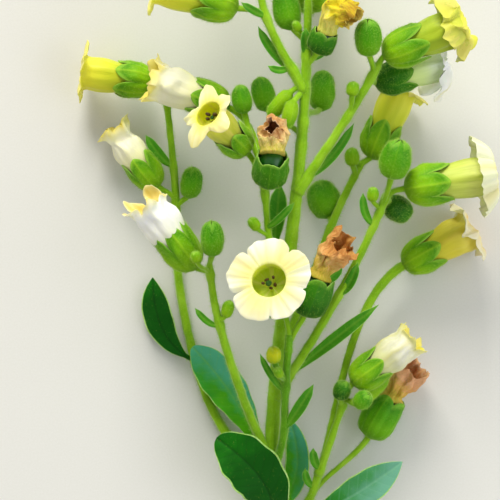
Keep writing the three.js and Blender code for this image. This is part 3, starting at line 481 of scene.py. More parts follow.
# The limbs. A station is x, y, z and radius, from the centre line of what carries a limb to its tip. at is
# the share of the way along a limb where a piece grows, and bow is how far a blade's middle stands off its
# line. A dictionary at the end of a row holds what only that row has.
limbs = {
    "main_stem": {
        "stations": [(3.2, -63.6, 1.56, 1.6), (5.1, -27.8, 10.3, 1.35), (8, 0, 17, 1.3),
            (10.5, 24, 21.4, 1.08), (11.9, 61, 26.2, 0.55)],
        "buds": [(0.8, (8.6, 29.8, 24), (7.1, 23.8, 24.4), 1.5),
            (0.81, (8.2, 31.6, 22.8), (3.6, 26.2, 21.6), 1.6),
            (0.87, (9.9, 43.2, 24.6), (8.6, 45.2, 25.4), 0.9),
            (0.86, (8.3, 43.8, 21.8), (6.3, 51.6, 21.8), 2.7),
            (0.76, (14.2, 28, 13), (14.9, 36.4, 11.6), 2.6), (0.72, (3.6, 28, 12.8), (1.8, 35, 11.8), 2.3),
            (0.97, (8.2, 59.4, 27.6), (6.2, 65.6, 29), 2.3),
            (0.99, (11.8, 63, 25.8), (11.6, 67.6, 25.6), 1.5),
            (1, (13.4, 62.6, 26.6), (14.8, 65.6, 27), 1.2), (1, (10.8, 62.2, 27.6), (10, 64.4, 29.2), 1)],
        "bracts": [(0.85, (11, 43.8, 26.2), (-0.1, -0.2, 0.4), 1),
            (0.85, (15.6, 40.2, 21.4), (-0.4, -0.6, -0.4), 1),
            (0.94, (16.4, 54, 23.2), (-0.4, 0, -0.1), 1.1)],
    },
    "right_upper_branch": {
        "stations": [(9.4, 11.5, 19.4, 1.05), (16, 21.3, 21.4, 0.9), (22.3, 31.2, 22.4, 0.8),
            (25.4, 36.6, 22.3, 0.7)],
        "buds": [(0.5, (20.2, 30.4, 24), (20.5, 33.4, 24.6), 1.3)],
        "bracts": [(0.09, (20.8, 25.4, 20.4), (0.4, -1.1, 0), 0.95)],
    },
    "left_upper_branch": {
        "stations": [(10.9, 31.6, 22.5, 0.95), (5.1, 41.7, 24.2, 0.85), (2.5, 48.3, 25, 0.75),
            (1.6, 58.4, 26, 0.6)],
        "buds": [(0.89, (3.8, 56.8, 26.6), (5, 59.6, 27.4), 1.25),
            (0.94, (-0.6, 57.8, 26.6), (-2.4, 59.8, 27.2), 1.1)],
        "bracts": [(0.12, (1.6, 44.4, 23.4), (-0.7, -0.3, -0.6), 0.95),
            (0.15, (3.6, 36.4, 24.8), (-0.1, -0.7, -0.1), 0.75),
            (0.56, (-1.6, 48.6, 28.6), (-0.4, 0, 0.3), 0.8)],
    },
    "left_middle_branch": {
        "stations": [(6.7, -7, 15.3, 0.78), (4, 1.6, 18.2, 0.66), (2.8, 12.8, 20.4, 0.58)],
        "buds": [(0.94, (-1.1, 27.2, 18.6), (-2.2, 33, 19.6), 1.95),
            (0.52, (1.6, 4, 20.4), (0, 6.4, 21.8), 1.1)],
        "bracts": [(0.64, (8.8, 9.4, 23.6), (-0.6, -1, 0.2), 0.75)],
    },
    "left_branch": {
        "stations": [(3.9, -42.4, 6.7, 1.02), (-1.4, -30, 11.4, 0.9), (-6.6, -13, 17.4, 0.8),
            (-8.1, -3.6, 19.6, 0.66)],
        "buds": [(0.63, (-5, -13.6, 18), (-3.9, -10, 18.8), 1.2),
            (0.94, (-10.4, -2.6, 24), (-10.9, -0.2, 24.8), 1.05)],
        "bracts": [(0.62, (-11, -11.6, 18.2), (0.1, -1, 0.1), 0.7)],
    },
    "front_stalk": {
        "finish": "darkStem",
        "stations": [(4.1, -47, 5.6, 0.98), (6.7, -38, 10.6, 0.82), (7.1, -27.8, 13.8, 0.76),
            (7.9, -17.2, 16.7, 0.7)],
        "buds": [(0.68, (4.9, -22.8, 16.8), (4.6, -19.2, 17.6), 1.5, {"finish": "yellowBud"}),
            (0.69, (6, -25.4, 16.6), (5.4, -23.6, 18.6), 0.95)],
        "bracts": [(0.39, (12.8, -27, 15), (-0.4, -0.9, 0.3), 1.25),
            (0.64, (2, -20.8, 16.6), (-0.3, -0.5, -0.1), 0.7)],
    },
    "right_lower_branch": {
        "stations": [(5, -30, 9.8, 0.98), (12.8, -17.8, 12.6, 0.88), (22.3, -0.6, 16, 0.8),
            (27.4, 11, 19, 0.7)],
        "buds": [(0.9, (24.4, 9.6, 19.4), (24.6, 12.6, 20.4), 1.15),
            # This bud's sepals lie in shade and take the darkened calyx: painted shade.
            (0.97, (27.6, 9.6, 17), (32, 6.8, 13.4), 2.6, {"finish": "darkCalyx"})],
        "bracts": [(0.5, (21.6, -2.6, 17.6), (0.1, -1.1, -0.5), 1.1),
            (0.82, (22.6, 11.4, 18.8), (-0.7, -0.5, 0.1), 0.85)],
    },
    "right_low_branch": {
        "stations": [(3.5, -60.4, 2.35, 0.98), (10, -55, 4, 0.87), (15.1, -42.3, 8.6, 0.76),
            (19, -30.4, 11.6, 0.65)],
        # This bud's sepals lie in shade and take the darkened calyx: painted shade.
        "buds": [(0.95, (18.2, -30.2, 13), (18.8, -26.2, 14.4), 1.75, {"finish": "darkCalyx"}),
            (0.99, (21.4, -31.4, 14), (24, -28.8, 16.2), 1.75),
            (0.97, (22, -31.2, 9.8), (28, -25.6, 8.8), 1.6)],
        "bracts": [(0.61, (12.8, -40.2, 10), (-0.4, -0.6, 0.1), 0.95),
            (0.52, (11.2, -44.4, 8.8), (-0.4, -0.7, 0.1), 0.8)],
    },
    "back_right_branch": {
        "stations": [(5.3, -22.4, 11.5, 0.98), (11, -10, 6.6, 0.9), (17.4, 7, 6.8, 0.8),
            (22.6, 17.6, 7.6, 0.68)],
        "buds": [(0.61, (16.4, 6.6, 4.6), (13.8, 14.2, 3.26), 3.3),
            (0.91, (20.8, 17, 9.2), (20.6, 20.8, 10.4), 1.5)],
        "bracts": [(0.42, (19, -3, 3.6), (-0.2, -1.6, -0.3), 1.3)],
    },
    "back_left_branch": {
        "stations": [(4, -48, 5.4, 1), (-7.4, -33.4, 1.5, 0.92), (-14.4, -8, 1.4, 0.87),
            (-15.4, 14, 4.2, 0.78), (-17, 31, 7.2, 0.6)],
        "buds": [(0.68, (-12.6, 10.6, 4.6), (-11.4, 17, 6.2), 2.2),
            (0.97, (-15.6, 32.2, 8.2), (-14.8, 36.8, 9.2), 1.6),
            (0.99, (-17.8, 32.8, 9.4), (-18, 35, 11), 1)],
        "bracts": [(0.79, (-21.4, 23.6, 4), (-0.1, -0.6, -0.1), 1.1)],
    },
}


def namedRows(fields, rows):  # the values of each row by name, with its tuples as arrays
    named = []
    for row in rows:
        values = dict(zip(fields.split(), row)) | (row[-1] if isinstance(row[-1], dict) else {})
        named.append({name: np.array(value, float) if isinstance(value, tuple) else value
                      for name, value in values.items()})
    return named


for limb in limbs.values():
    limb["buds"] = namedRows("at foot tip radius", limb["buds"])
    limb["bracts"] = namedRows("at tip bow halfWidth", limb["bracts"])


# In a bloom, lobes gives the reach and the rise of the five lobes, and shape changes what its kind sets.
blooms = namedRows("name kind petal carrier at foot faces scale turn", [
    ("front_bloom", "open", "creamPetal", "front_stalk", 0.98,
     (6.2, -10.8, 18.2), (-0.15, 0.29, 0.94), 1, 22,
     {"lobes": ((1, 0.1), (1.02, 0), (0.97, 0.2), (1.03, -0.3), (1, 0))}),
    ("right_bloom", "open", "paleCreamPetal", "right_lower_branch", 0.98,
     (30.8, 12.2, 20), (0.98, 0.16, -0.1), 1, 20,
     {"lobes": ((1.08, -0.5), (0.96, -0.7), (1.04, 0), (1, 0.7), (1.1, 0.5)),
      "shape": {"throatAt": 13, "mouthAt": 16.6, "limbAt": 18, "limbRadius": 8, "reflex": -3.2, "dish": 0.7,
          "pleat": 0.3}}),
    ("upper_right_bloom", "crumpled", "lemonPetal", "right_upper_branch", 0.96,
     (26.4, 38.4, 23), (0.92, 0.39, 0.06), 1, 40,
     {"lobes": ((1.1, 0.4), (0.95, 0), (1.1, 0.6), (1, 0.4), (1.1, 0.6)),
      "shape": {"throatAt": 13, "mouthAt": 16.1, "limbAt": 17.3, "limbRadius": 6.5, "reflex": -2.9,
          "dish": 0.8}}),
    ("upper_right_back_bloom", "crumpled", "mintPetal", "right_upper_branch", 0.83,
     (25, 33.4, 16.8), (0.94, 0.3, -0.16), 0.88, 15,
     # Its calyx lies in the shadow of the bloom above and takes the darkened calyx: painted shade.
     {"lobes": ((1, -0.5), (1, -0.8), (1.2, -4), (1.1, -4.4), (1, -2)), "sepals": "darkCalyx"}),
    ("upper_left_bloom", "star", "yellowPetal", "left_upper_branch", 0.55,
     (-2.4, 47.8, 24.2), (-0.96, 0.28, 0.02), 1, 30),
    ("left_star_bloom", "star", "starPetal", "left_middle_branch", 0.91,
     (-0.8, 19.8, 21.2), (-0.54, 0.5, 0.68), 0.82, 20,
     {"lobes": ((1.25, -0.5), (1.1, -0.4), (0.92, 0.8), (1.16, 0.5), (1, -0.6)),
      "shape": {"notchShare": 0.68, "lobePower": 1.4, "openingRadius": 3.3, "mouthRadius": 3.7}}),
    ("left_fading_bloom", "fading", "fadedPetal", "left_middle_branch", 0.9,
     (-4.2, 28.6, 16), (-0.93, 0.33, 0.12), 0.94, 12,
     {"lobes": ((1, 0.6), (1.1, 0.4), (1, 0), (0.9, 0.2), (1.15, -1.4)),
      "shape": {"throatRadius": 4, "mouthRadius": 4, "limbRadius": 5.3, "notchShare": 0.86,
          "openingRadius": 3.2, "reflex": 1.9, "rise": 0.8}}),
    ("left_pale_bloom", "fading", "whitePetal", "left_branch", 0.95,
     (-10.8, -3.8, 18.2), (-0.6, 0.79, 0.14), 0.98, 25,
     {"lobes": ((1.15, 0.5), (0.88, -1.3), (0.8, -2.2), (0.95, 0.9), (0.95, 0.4)),
      "shape": {"throatRadius": 4.1, "mouthRadius": 3.8, "limbRadius": 5.2, "notchShare": 0.66,
          "lobePower": 1.3, "rise": 2, "reflex": 0.8, "openingRadius": 2.6, "crumple": 0.3},
      "calyx": 11.2}),
    ("right_low_fading_bloom", "fading", "agedPetal", "right_low_branch", 0.99,
     (20.6, -27, 12), (0.8, 0.59, 0.1), 0.9, 86,
     {"lobes": ((0.8, -0.4), (0.9, 0), (0.85, -0.3), (0.75, -0.8), (0.8, -0.4)),
      "shape": {"throatRadius": 3.9, "mouthRadius": 3.4, "ragged": 0.06, "notchShare": 0.92}}),
    ("back_right_bloom", "star", "yellowPetal", "back_right_branch", 0.98,
     (24.6, 18.6, 7.4), (0.4, 0.91, -0.05), 0.9, 10),
    ("far_right_bloom", "crumpled", "amberPetal", "right_low_branch", 0.58,
     (31.2, -3.2, 5.66), (0.88, 0.47, 0.02), 0.95, 12, {"stalkSize": 0.72, "ease": 0.3}),
    ("back_left_pale_bloom", "fading", "fadedPetal", "back_left_branch", 0.7,
     (-18.8, 12.8, 5.4), (-0.6, 0.79, 0.05), 0.86, 5),
    ("back_left_bloom", "star", "yellowPetal", "back_left_branch", 0.99,
     (-19.4, 34, 7.2), (-0.98, 0.14, -0.02), 0.88, 44),
    ("top_right_bloom", "open", "yellowPetal", "main_stem", 0.95,
     (14.8, 56, 27), (0.62, 0.76, 0.2), 0.94, 33),
    ("top_left_bloom", "open", "lemonPetal", "left_upper_branch", 0.98,
     (0.9, 61, 26.4), (-0.4, 0.9, 0.16), 0.9, 16),
    ("top_back_bloom", "open", "creamPetal", "main_stem", 0.91,
     (11.7, 49.2, 18.28), (0.1, 0.52, -0.85), 0.94, 0),
])
pods = namedRows("name carrier at foot faces turn sepals length radius crest dried tip bow radii", [
    # Its sepals take the darkened calyx: painted shade.
    ("front_pod", "front_stalk", 0.9, (10.8, -13.2, 17.8), (0.34, 0.91, 0.22), 26,
     "darkCalyx", 8.8, 3.7, 9.2, "dried", (19.6, 1.8, 21.8), (-0.7, 0, 0), (1.7, 2.2, 3.1, 2.4)),
    ("left_pod", "left_middle_branch", 0.97, (3.7, 13.2, 21.4), (0.1, 0.72, 0.68), 90,
     "podCalyx", 7.644, 3.5, 8.3, "driedPale", (4.6, 24.4, 29), (0.1, 1.5, -1.3), (2.4, 2.8, 2.8, 1.2),
     {"look": {"crumple": 0.3, "crease": 0.26, "skirt": 1.05, "ragged": 0.8, "open": 0, "flare": 0.95}}),
    # Its sepals take the darkened calyx: painted shade.
    ("top_pod", "main_stem", 0.83, (13.4, 39, 25.2), (0.36, 0.84, 0.42), 0,
     "darkCalyx", 4.884, 2.7, 5.2, "driedYellow", (20.6, 45, 30.8), (-0.6, 2.8, 0.5), (1.7, 2.6, 3, 2),
     {"look": {"ragged": 0.25, "flare": 0.95, "skirt": 1.2, "open": 1.2}}),
    ("right_low_pod", "right_low_branch", 0.44, (24.2, -38.4, 3.8), (0.5, 0.86, 0.06), 0,
     "bud", 9.856, 3.7, 9.6, "driedTan", (35, -23.4, 5.6), (-0.8, 0.1, 0), (1.7, 2.2, 2.8, 2.2),
     {"look": {"crumple": 0.24, "crease": 0.16, "ragged": 0.6}}),
])
largeBuds = namedRows("name carrier at foot tip radius", [
    ("left_bud", "left_branch", 0.98, (-7.4, -1.2, 22.8), (-7.6, 5.8, 25.6), 2.3),
    ("right_bud", "right_lower_branch", 0.89, (28, 14.2, 22.6), (29.8, 21.8, 25.6), 3.1),
    ("upper_right_bud", "right_upper_branch", 0.85, (23.4, 38.4, 25), (23.2, 45.4, 28.4), 2.6),
])
leaves = namedRows("name top under carrier at tip bow halfWidth peak fold", [
    ("front_leaf", "leafTop", "leafUnder", "main_stem", 0.04,
     (-6.8, -37.8, 14.2), (4.9, 0, 4.9), 5.4, 0.6, 0.12, {"blunt": 0.5, "notched": 0.035}),
    ("left_leaf", "leafTopYoung", "leafUnder", "main_stem", 0.12,
     (-11.8, -19.8, 4.6), (1.9, 0.6, -0.4), 4.1, 0.66, 0.3, {"blunt": 0.5, "notched": 0.03}),
    ("right_leaf", "leafTopBlue", "leafUnder", "right_low_branch", 0.36,
     (31, -43, 8.2), (-1.8, -2.4, 1.8), 3.5, 0.55, 0.35),
    ("inner_leaf", "leafTopYoung", "leafUnder", "main_stem", 0.06,
     (7.8, -34, 5), (3.7, -1.5, -1.5), 2.5, 0.5, 0.2),
    ("long_bract", "bract", "bract", "right_lower_branch", 0.12,
     (25.8, -11, 16.6), (-2.7, -2, -2), 1.3, 0.5, 0.5),
    ("middle_leaf", "bract", "bract", "left_middle_branch", 0.34,
     (6, 13.4, 16.4), (-0.1, -0.6, -1.3), 1.9, 0.6, 0.2),
    ("back_left_leaf", "leafTop", "leafUnder", "back_left_branch", 0.36,
     (-20, -5.6, 1.6), (-2.1, -2.5, 0.6), 3, 0.55, 0.15),
])
stemLook = {
    "step": 0.7,  # between rings
    "sides": 20,
    "ribs": 5,
    "ribDepth": 0.045,  # share of the radius
    "collar": 0.4,  # how much wider a limb is where it grows out of another
    "collarLength": 3.2,
    "nodeSwell": 0.16,  # where a stalk or bract leaves
    "nodeLength": 1.1,
    "roughness": 0.05,
    "roughSize": 2.6,
    "twist": 0.15,  # radians for each mm
    "tip": ((0.35, 0.9), (0.6, 0.62), (0.72, 0)),  # how the end is rounded: ahead and width, in radii
    "cutRings": (0, 0.35, 0.7, 0.78, 0.96),  # of the cut face; the pith ends at the third
    "cutEdge": 0.12,
    "grainShift": (7.3, 3.1),  # from one stem's pattern to the next
}
stalkLook = {
    "radius": 0.5, "depth": 0.9, "widening": 0.35, "collar": 0.55, "collarLength": 1.3, "ease": 0.35,
    "sides": 14,
}
stemDown = {"kind": "stem", "density": 12, "length": 0.75}  # hairs to a square millimetre
stalkDown = {"kind": "stem", "density": 12, "length": 0.65}
limbCurves = {name: smoothCurve(limb["stations"]) for name, limb in limbs.items()}


# A round stem through places, closed at both ends. With cut, its foot is a flat cut face.
def addStem(surface, places, radii, finish, seed, down, sides, cut=False):
    outs, acrosses, overs = carriedAxes(places)
    lengths = lengthsAlong(places)
    angles = np.arange(sides) / sides * fullTurn
    facing = roundOf(acrosses[:, None], overs[:, None], angles)
    turned = stemLook["ribs"] * angles + lengths[:, None] * stemLook["twist"]
    ribs = 1 + stemLook["ribDepth"] * np.cos(turned)
    points = places[:, None] + facing * (radii[:, None] * ribs)[..., None]
    uneven = wobble(points.reshape(-1, 3), stemLook["roughSize"], seed).reshape(len(places), sides)
    points += facing * (stemLook["roughness"] * uneven * np.minimum(radii, 1)[:, None])[..., None]
    rounded = [places[-1] + outs[-1] * radii[-1] * ahead + (points[-1] - places[-1]) * width
               for ahead, width in stemLook["tip"]]
    if cut:
        rims = [places[0] + (points[0] - places[0]) * width for width in stemLook["cutRings"]]
        kinds = ["pith"] * 2 + ["cortex"] * 3
        points[0] += outs[0] * stemLook["cutEdge"]
    else:
        rims = [np.repeat(places[:1], sides, 0)]
        kinds = [finish]
    points = np.stack([*rims, *points, *rounded])
    beyond = lengths[-1] + radii[-1] * np.array([0.3, 0.6, 0.8])  # grain on the rounded end
    along = np.concatenate([np.zeros(len(rims)), lengths, beyond])
    kinds += [finish] * (len(points) - 1 - len(kinds))
    across = np.arange(sides + 1) / sides * fullTurn * radii.mean()
    shift = seed * np.array(stemLook["grainShift"])
    grain = grainRound(sides, across + shift[0], along + shift[1], along / along[-1])
    if down:
        down = {**down, "rows": (len(rims), len(points) - 1)}
    addPatch(surface, points, grain, kinds, around=True, down=down)


def addLimb(surface, name, finish, seed):
    stations, curve, even = limbs[name]["stations"], limbCurves[name], np.linspace(0, 1, 400)
    whole = lengthsAlong(curve(even))
    shares = np.interp(np.linspace(0, 1, int(whole[-1] / stemLook["step"])), whole / whole[-1], even)
    places = curve(shares)
    lengths = lengthsAlong(places)
    thickness = [station[3] for station in stations]
    radii = np.interp(shares * (len(stations) - 1), range(len(stations)), thickness)
    mainStem = name == "main_stem"
    if not mainStem:
        radii = radii * (1 + stemLook["collar"] * hump(lengths, stemLook["collarLength"]))
    for row in growthOn(name):
        fromNode = lengths - np.interp(row["at"], shares, lengths)
        radii = radii * (1 + stemLook["nodeSwell"] * hump(fromNode, stemLook["nodeLength"]))
    addStem(surface, places, radii, finish, seed, stemDown, stemLook["sides"], cut=mainStem)


def growthOn(name):  # every row that grows from a limb
    grown = [*limbs[name]["buds"], *limbs[name]["bracts"]]
    return grown + [row for row in [*blooms, *pods, *largeBuds, *leaves] if row["carrier"] == name]


# A stalk leaves its limb along the limb, turns into the direction of what it carries, and runs into it.
def addStalk(surface, row, carrier, direction, depth, radius, finish, seed):
    curve = limbCurves[carrier]
    start, leaving, arriving = curve(row["at"]), headingAt(curve, row["at"]), unit(direction)
    end = row["foot"] + arriving * depth
    reach = np.linalg.norm(end - start) * row.get("ease", stalkLook["ease"])
    t = np.linspace(0, 1, 8 + int(reach * 2.5))[:, None]
    places = (start * (1 - t) ** 3 + 3 * (start + leaving * reach) * t * (1 - t) ** 2
              + 3 * (end - arriving * reach) * t ** 2 * (1 - t) + end * t ** 3)
    lengths = lengthsAlong(places)
    widening = 1 + stalkLook["widening"] * t[:, 0] ** 2
    collar = 1 + stalkLook["collar"] * hump(lengths, stalkLook["collarLength"])
    addStem(surface, places, radius * widening * collar, finish, seed, stalkDown, stalkLook["sides"])


# Sepals, for calyces, pods and closed buds. The profile gives the cup's outside as shares of its length
# and radius, rim is where the five lobes part, and power under 2 makes them pointed.
calyxCup = {
    "profile": ((-0.01, 0.12), (0.03, 0.42), (0.1, 0.66), (0.2, 0.84), (0.42, 1.01), (0.62, 1.03),
                (0.8, 0.98), (1.02, 0.93)),
    "rim": 0.5, "power": 1.5, "blunt": 0.74, "uneven": (0.88, 1.08), "thickness": 0.3, "spread": 0.42,
    "lap": 0.1, "rib": 0.16, "groove": 0.26, "tipOut": 0.05, "floor": 0.2, "rows": 20, "columns": 12,
    "ribWidth": 0.11, "sideRibAt": 0.5, "sideRibWidth": 0.12, "grooveWidth": 0.16,  # shares of half a lobe
    "roughness": 0.1, "roughSize": 3.4,
}
podCup = {
    **calyxCup,
    "profile": ((-0.01, 0.12), (0.03, 0.5), (0.1, 0.78), (0.22, 0.95), (0.42, 1.02), (0.66, 1),
                (0.86, 0.92), (1.02, 0.86)),
    "rim": 0.86, "power": 2, "blunt": 0.9, "tipOut": 0.1, "spread": 0.1,
}
budCup = {
    **calyxCup,
    "profile": ((-0.01, 0.15), (0.03, 0.46), (0.12, 0.78), (0.3, 0.97), (0.48, 1.02), (0.68, 0.95),
                (0.84, 0.76), (0.94, 0.46), (0.98, 0.2), (1, 0.02)),
    "rim": 0.86, "power": 1.9, "blunt": 0.6, "uneven": (0.98, 1), "thickness": 0.2, "spread": 0.5,
    "lap": 0.04, "rib": 0.05, "groove": 0.12, "tipOut": 0.03, "floor": 0.5, "rows": 16, "columns": 8,
}
smallBud = 1.7  # the radius under which a bud is paler and has fewer points
fullRelief = 3.2  # the radius from which ribs and waves have their whole height
calyxSize = {"length": 9.3, "open": 4.1, "star": 4.1, "crumpled": 3.9, "fading": 3.9}  # and radius
calyxDown = {"kind": "sepal", "density": 9, "length": 0.6}
podDown = {"kind": "sepal", "density": 4, "length": 0.5}
budDown = {"kind": "sepal", "density": 14, "length": 0.55}


def onAxes(foot, axes, radius, angle, along):  # places round an axis
    radius, angle, along = np.broadcast_arrays(radius, angle, along)
    return foot + radius[..., None] * roundOf(axes[1], axes[2], angle) + along[..., None] * axes[0]


def addSepals(surface, foot, axes, length, radius, cup, finish, down, seed):
    chance = np.random.default_rng(seed)
    radiusAt = profileOf([(along * length, share * radius) for along, share in cup["profile"]])
    rim = cup["rim"] * length
    size = min(1.0, radius / fullRelief)
    u = np.linspace(-1, 1, cup["columns"] + 1)
    v = np.linspace(0, 1, cup["rows"] + 1)[:, None] ** 0.9
    for lobe in range(lobeCount):
        reach = (length - rim) * chance.uniform(*cup["uneven"])
        edge = rim + reach * (1 - np.abs(u) ** cup["power"]) ** cup["blunt"]
        along = edge * v
        beyond = np.clip((along - rim) / reach, 0, 1)
        angle = lobeTurn * (lobe + u / 2 * (1 + cup["spread"] * beyond))
        sideRib = hump(np.abs(u) - cup["sideRibAt"], cup["sideRibWidth"])
        rib = cup["rib"] * (hump(u, cup["ribWidth"]) + 0.5 * sideRib)
        groove = cup["groove"] * hump(1 - np.abs(u), cup["grooveWidth"]) * (1 - beyond)
        lap = cup["lap"] * ease(beyond / 0.25) * u + cup["tipOut"] * chance.uniform(-0.6, 1.6) * beyond ** 2
        grown = ease(along / (0.2 * length))
        reachOut = radiusAt(along) + size * (rib - groove + lap) * grown
        outer = onAxes(foot, axes, reachOut, angle, along)
        swing = wobble(outer.reshape(-1, 3), cup["roughSize"], seed + 5)
        reachOut = reachOut + cup["roughness"] * size * grown * swing.reshape(reachOut.shape)
        outer = onAxes(foot, axes, reachOut, angle, along)
        floor = cup["floor"] * length
        thickness = cup["thickness"] * (1 - 0.5 * v ** 4)
        inner = onAxes(foot, axes, reachOut - thickness, angle, np.maximum(along, floor))[::-1]
        poles = [onAxes(foot, axes, 0 * u, u, at)[None] for at in (-0.02 * length, floor)]
        points = np.concatenate([poles[0], outer, inner, poles[1]])
        share = np.concatenate([[0], v[:, 0], v[::-1, 0], [0]])
        grain = grainRound(cup["columns"], lobe + (u + 1) / 2 + seed, share * length, share)
        kinds = [finish] * len(outer) + ["sepalInside"] * (len(inner) + 1)
        addPatch(surface, points, grain, kinds, down={**down, "rows": (2, len(outer))})


def addBud(surface, row, carrier, finish, stem, seed):
    foot, tip, radius = row["foot"], row["tip"], row["radius"]
    length = np.linalg.norm(tip - foot)
    cup = {**budCup, "rows": 10, "columns": 6} if radius < smallBud else budCup
    stalk = min(stalkLook["radius"], radius * 0.35)
    addStalk(surface, row, carrier, tip - foot, length * 0.2, stalk, stem, seed)
    addSepals(surface, foot, axesAlong(tip - foot, seed * 31), length, radius, cup, finish, budDown, seed)


# Blades, for leaves and bracts, widest at peak. fold raises both edges, and wave swings them.
bladeLook = {
    "margin": 0.16, "footShare": 0.12, "stalk": 0.5, "thickness": 0.24, "cell": 0.45, "fold": 0.3,
    "peak": 0.45, "wave": 0.06, "blunt": 0.8, "notched": 0.02,
    "veinSpacing": 2.2, "veinSlant": 0.75, "veinWidth": 0.12,  # the width is a share of the spacing
    "midWidth": 0.3,
    "groove": 0.12, "sideGroove": 0.07, "ridge": 0.2, "sideRidge": 0.09,  # the veins above and below
}
bladeDown = {"kind": "leaf", "density": 1.2, "length": 0.3}
edgeDown = {"kind": "leaf", "density": 26, "length": 0.5}


def addBlade(surface, row, carrier, top, under, seed):
    look = {**bladeLook, **row}
    path = bowed(limbCurves[carrier](row["at"]), row["tip"], row["bow"], np.linspace(0, 1, 200)[:, None])
    whole = lengthsAlong(path)
    length = whole[-1]
    share = np.linspace(0, 1, max(12, int(length / look["cell"])))
    share = np.where(share > 0.9, 1 - (1 - share) ** 1.5 * 0.1 ** -0.5, share)  # closer rows at the tip
    centre = np.stack([np.interp(share * length, whole, path[:, axis]) for axis in range(3)], -1)
    heading = unit(np.gradient(centre, axis=0))
    side = unit(np.cross(heading, [0, 0, 1.0]))
    up = np.cross(side, heading)
    halfWidth, stalk = row["halfWidth"], min(look["stalk"], row["halfWidth"] * 0.6)
    grown = np.clip((share - look["footShare"]) / (1 - look["footShare"]), 0, 1)
    bent = grown ** (math.log(0.5) / math.log(look["peak"]))
    spread = np.sin(math.pi * bent) ** np.where(bent > 0.5, look["blunt"], bladeLook["blunt"])
    spread = spread * (1 + look["notched"] * np.sin(share * length * 1.35 + seed))
    half = (stalk * (1 - ease((share - 0.8) / 0.2)) + (halfWidth - stalk) * spread)[:, None]
    columns = max(8, 2 * int(halfWidth / look["cell"]) + 4)
    a = np.sin(np.linspace(-1, 1, columns + 1) * math.pi / 2)[None]  # from margin to margin
    aside = np.abs(a) * half
    along = (share * length)[:, None]
    thick = stalk + (look["thickness"] / 2 - stalk) * np.clip(grown * 5, 0, 1)
    thick = (thick * (1 - 0.8 * ease((share - 0.85) / 0.15)))[:, None]
    body = thick * np.sqrt(np.clip(1 - a ** 2, 0, 1)) ** 0.7
    slant = (along - look["veinSlant"] * aside) / look["veinSpacing"]
    sideVein = hump(slant - np.round(slant), look["veinWidth"])
    sideVein = sideVein * ease(aside / 0.6) * ease((halfWidth - 1.8) / 2)  # none in a narrow blade
    midVein = hump(aside, look["midWidth"])
    swing = look["wave"] * half * np.sin(along * 0.9 + 2.2 * np.sign(a) + seed) * a ** 2
    lift = look["fold"] * np.abs(a) * (half - stalk) * ease(grown * 4)[:, None] + swing
    broad = ease(grown * 6)[:, None]
    above = lift + body - broad * (look["groove"] * midVein + look["sideGroove"] * sideVein)
    below = lift - body - broad * (look["ridge"] * midVein + look["sideRidge"] * sideVein)
    lifts = np.concatenate([above, below[:, -2:0:-1]], 1)
    asides = np.concatenate([a * half, (a * half)[:, -2:0:-1]], 1)
    points = centre[:, None] + side[:, None] * asides[..., None] + up[:, None] * lifts[..., None]
    points = np.concatenate([np.repeat(centre[:1, None], points.shape[1], 1), points])
    asides = np.concatenate([asides[:1], asides])
    share = np.concatenate([[0], share])
    around = points.shape[1]
    grain = grainRound(around, asides[:, [*range(around), 0]], share * length + seed * 2.2, share)
    closed = points[:, [*range(around), 0]]
    bandWidth = halfWidth * (1 - np.cos(math.pi * np.arange(columns // 3) / columns))
    margin = max(1, int(np.searchsorted(bandWidth, min(look["margin"], halfWidth * 0.05))))
    edges = (0, margin, columns - margin, columns + margin, around - margin, around)
    for begin, end, finish in zip(edges, edges[1:], ("margin", top, "margin", under, "margin")):
        part = slice(begin, end + 1)
        down = {**(edgeDown if finish == "margin" else bladeDown), "rows": (2, len(points) - 1)}
        addPatch(surface, closed[:, part], grain[:, part], finish, down=down)


# A round piece on an axis: rows of (along, radius, share). shape is the part of the radius at an angle.
def addLathe(surface, foot, axes, rows, columns, finish, seed, shape=np.ones_like):
    along, radius, share = np.array(rows, float).T
    angle = np.arange(columns)[None] / columns * fullTurn
    points = onAxes(foot, axes, radius[:, None] * shape(angle), angle, along[:, None])
    across = np.arange(columns + 1) / columns * fullTurn * radius.max()
    addPatch(surface, points, grainRound(columns, across + seed, along + seed, share), finish, around=True)


# Corollas. Distances are millimetres from the foot of the calyx at scale 1; radii stand at those places.
openCorolla = {
    "footAt": 2.2, "footRadius": 1.7, "bulgeAt": 5, "bulgeRadius": 2.7, "throatAt": 12,
    "throatRadius": 3.95, "mouthAt": 15.5, "mouthRadius": 3.75, "limbAt": 16.8, "limbRadius": 8.4,
    "openingRadius": 3.35,
    "notchShare": 0.81, "lobePower": 0.36, "rise": 0.3, "dish": 0.25,  # dish: how far the limb bows forward
    "reflex": 0,  # how far the whole edge is bent forward
    "pleat": 0.42, "crease": 0.16, "wrinkle": 0.1, "ruffle": 0.16, "crumple": 0, "tipNotch": 0.04,
    "ragged": 0.045, "thickness": 0.28, "fluting": 0.17, "floor": 13, "columns": 140,
    "creaseWidth": 0.05, "beside": 0.14, "besideWidth": 0.06, "pleatWidth": 0.07,  # shares of a lobe
    "crumpleSize": 4.2,
}
corollaKinds = {
    "open": openCorolla,
    "star": {**openCorolla, "notchShare": 0.64, "lobePower": 0.95, "limbRadius": 7.3, "rise": -0.4,
             "tipNotch": -0.3, "ruffle": 0.3, "pleat": 0.4, "openingRadius": 3, "columns": 110},
    "crumpled": {**openCorolla, "notchShare": 0.82, "limbRadius": 7, "rise": -1.6, "ruffle": 0.6,
                 "crumple": 0.4, "lobePower": 0.6, "ragged": 0.07, "fluting": 0.25, "columns": 110},
    "fading": {**openCorolla, "throatAt": 11, "throatRadius": 3.7, "mouthAt": 14.6, "mouthRadius": 2.9,
               "limbAt": 15.6, "limbRadius": 4.7, "notchShare": 0.84, "lobePower": 0.8, "rise": 0.9,
               "reflex": 1.5, "openingRadius": 2.2, "ruffle": 0.35, "crumple": 0.45, "ragged": 0.09,
               "fluting": 0.34, "tipNotch": 0, "floor": 10.5, "columns": 110},
}
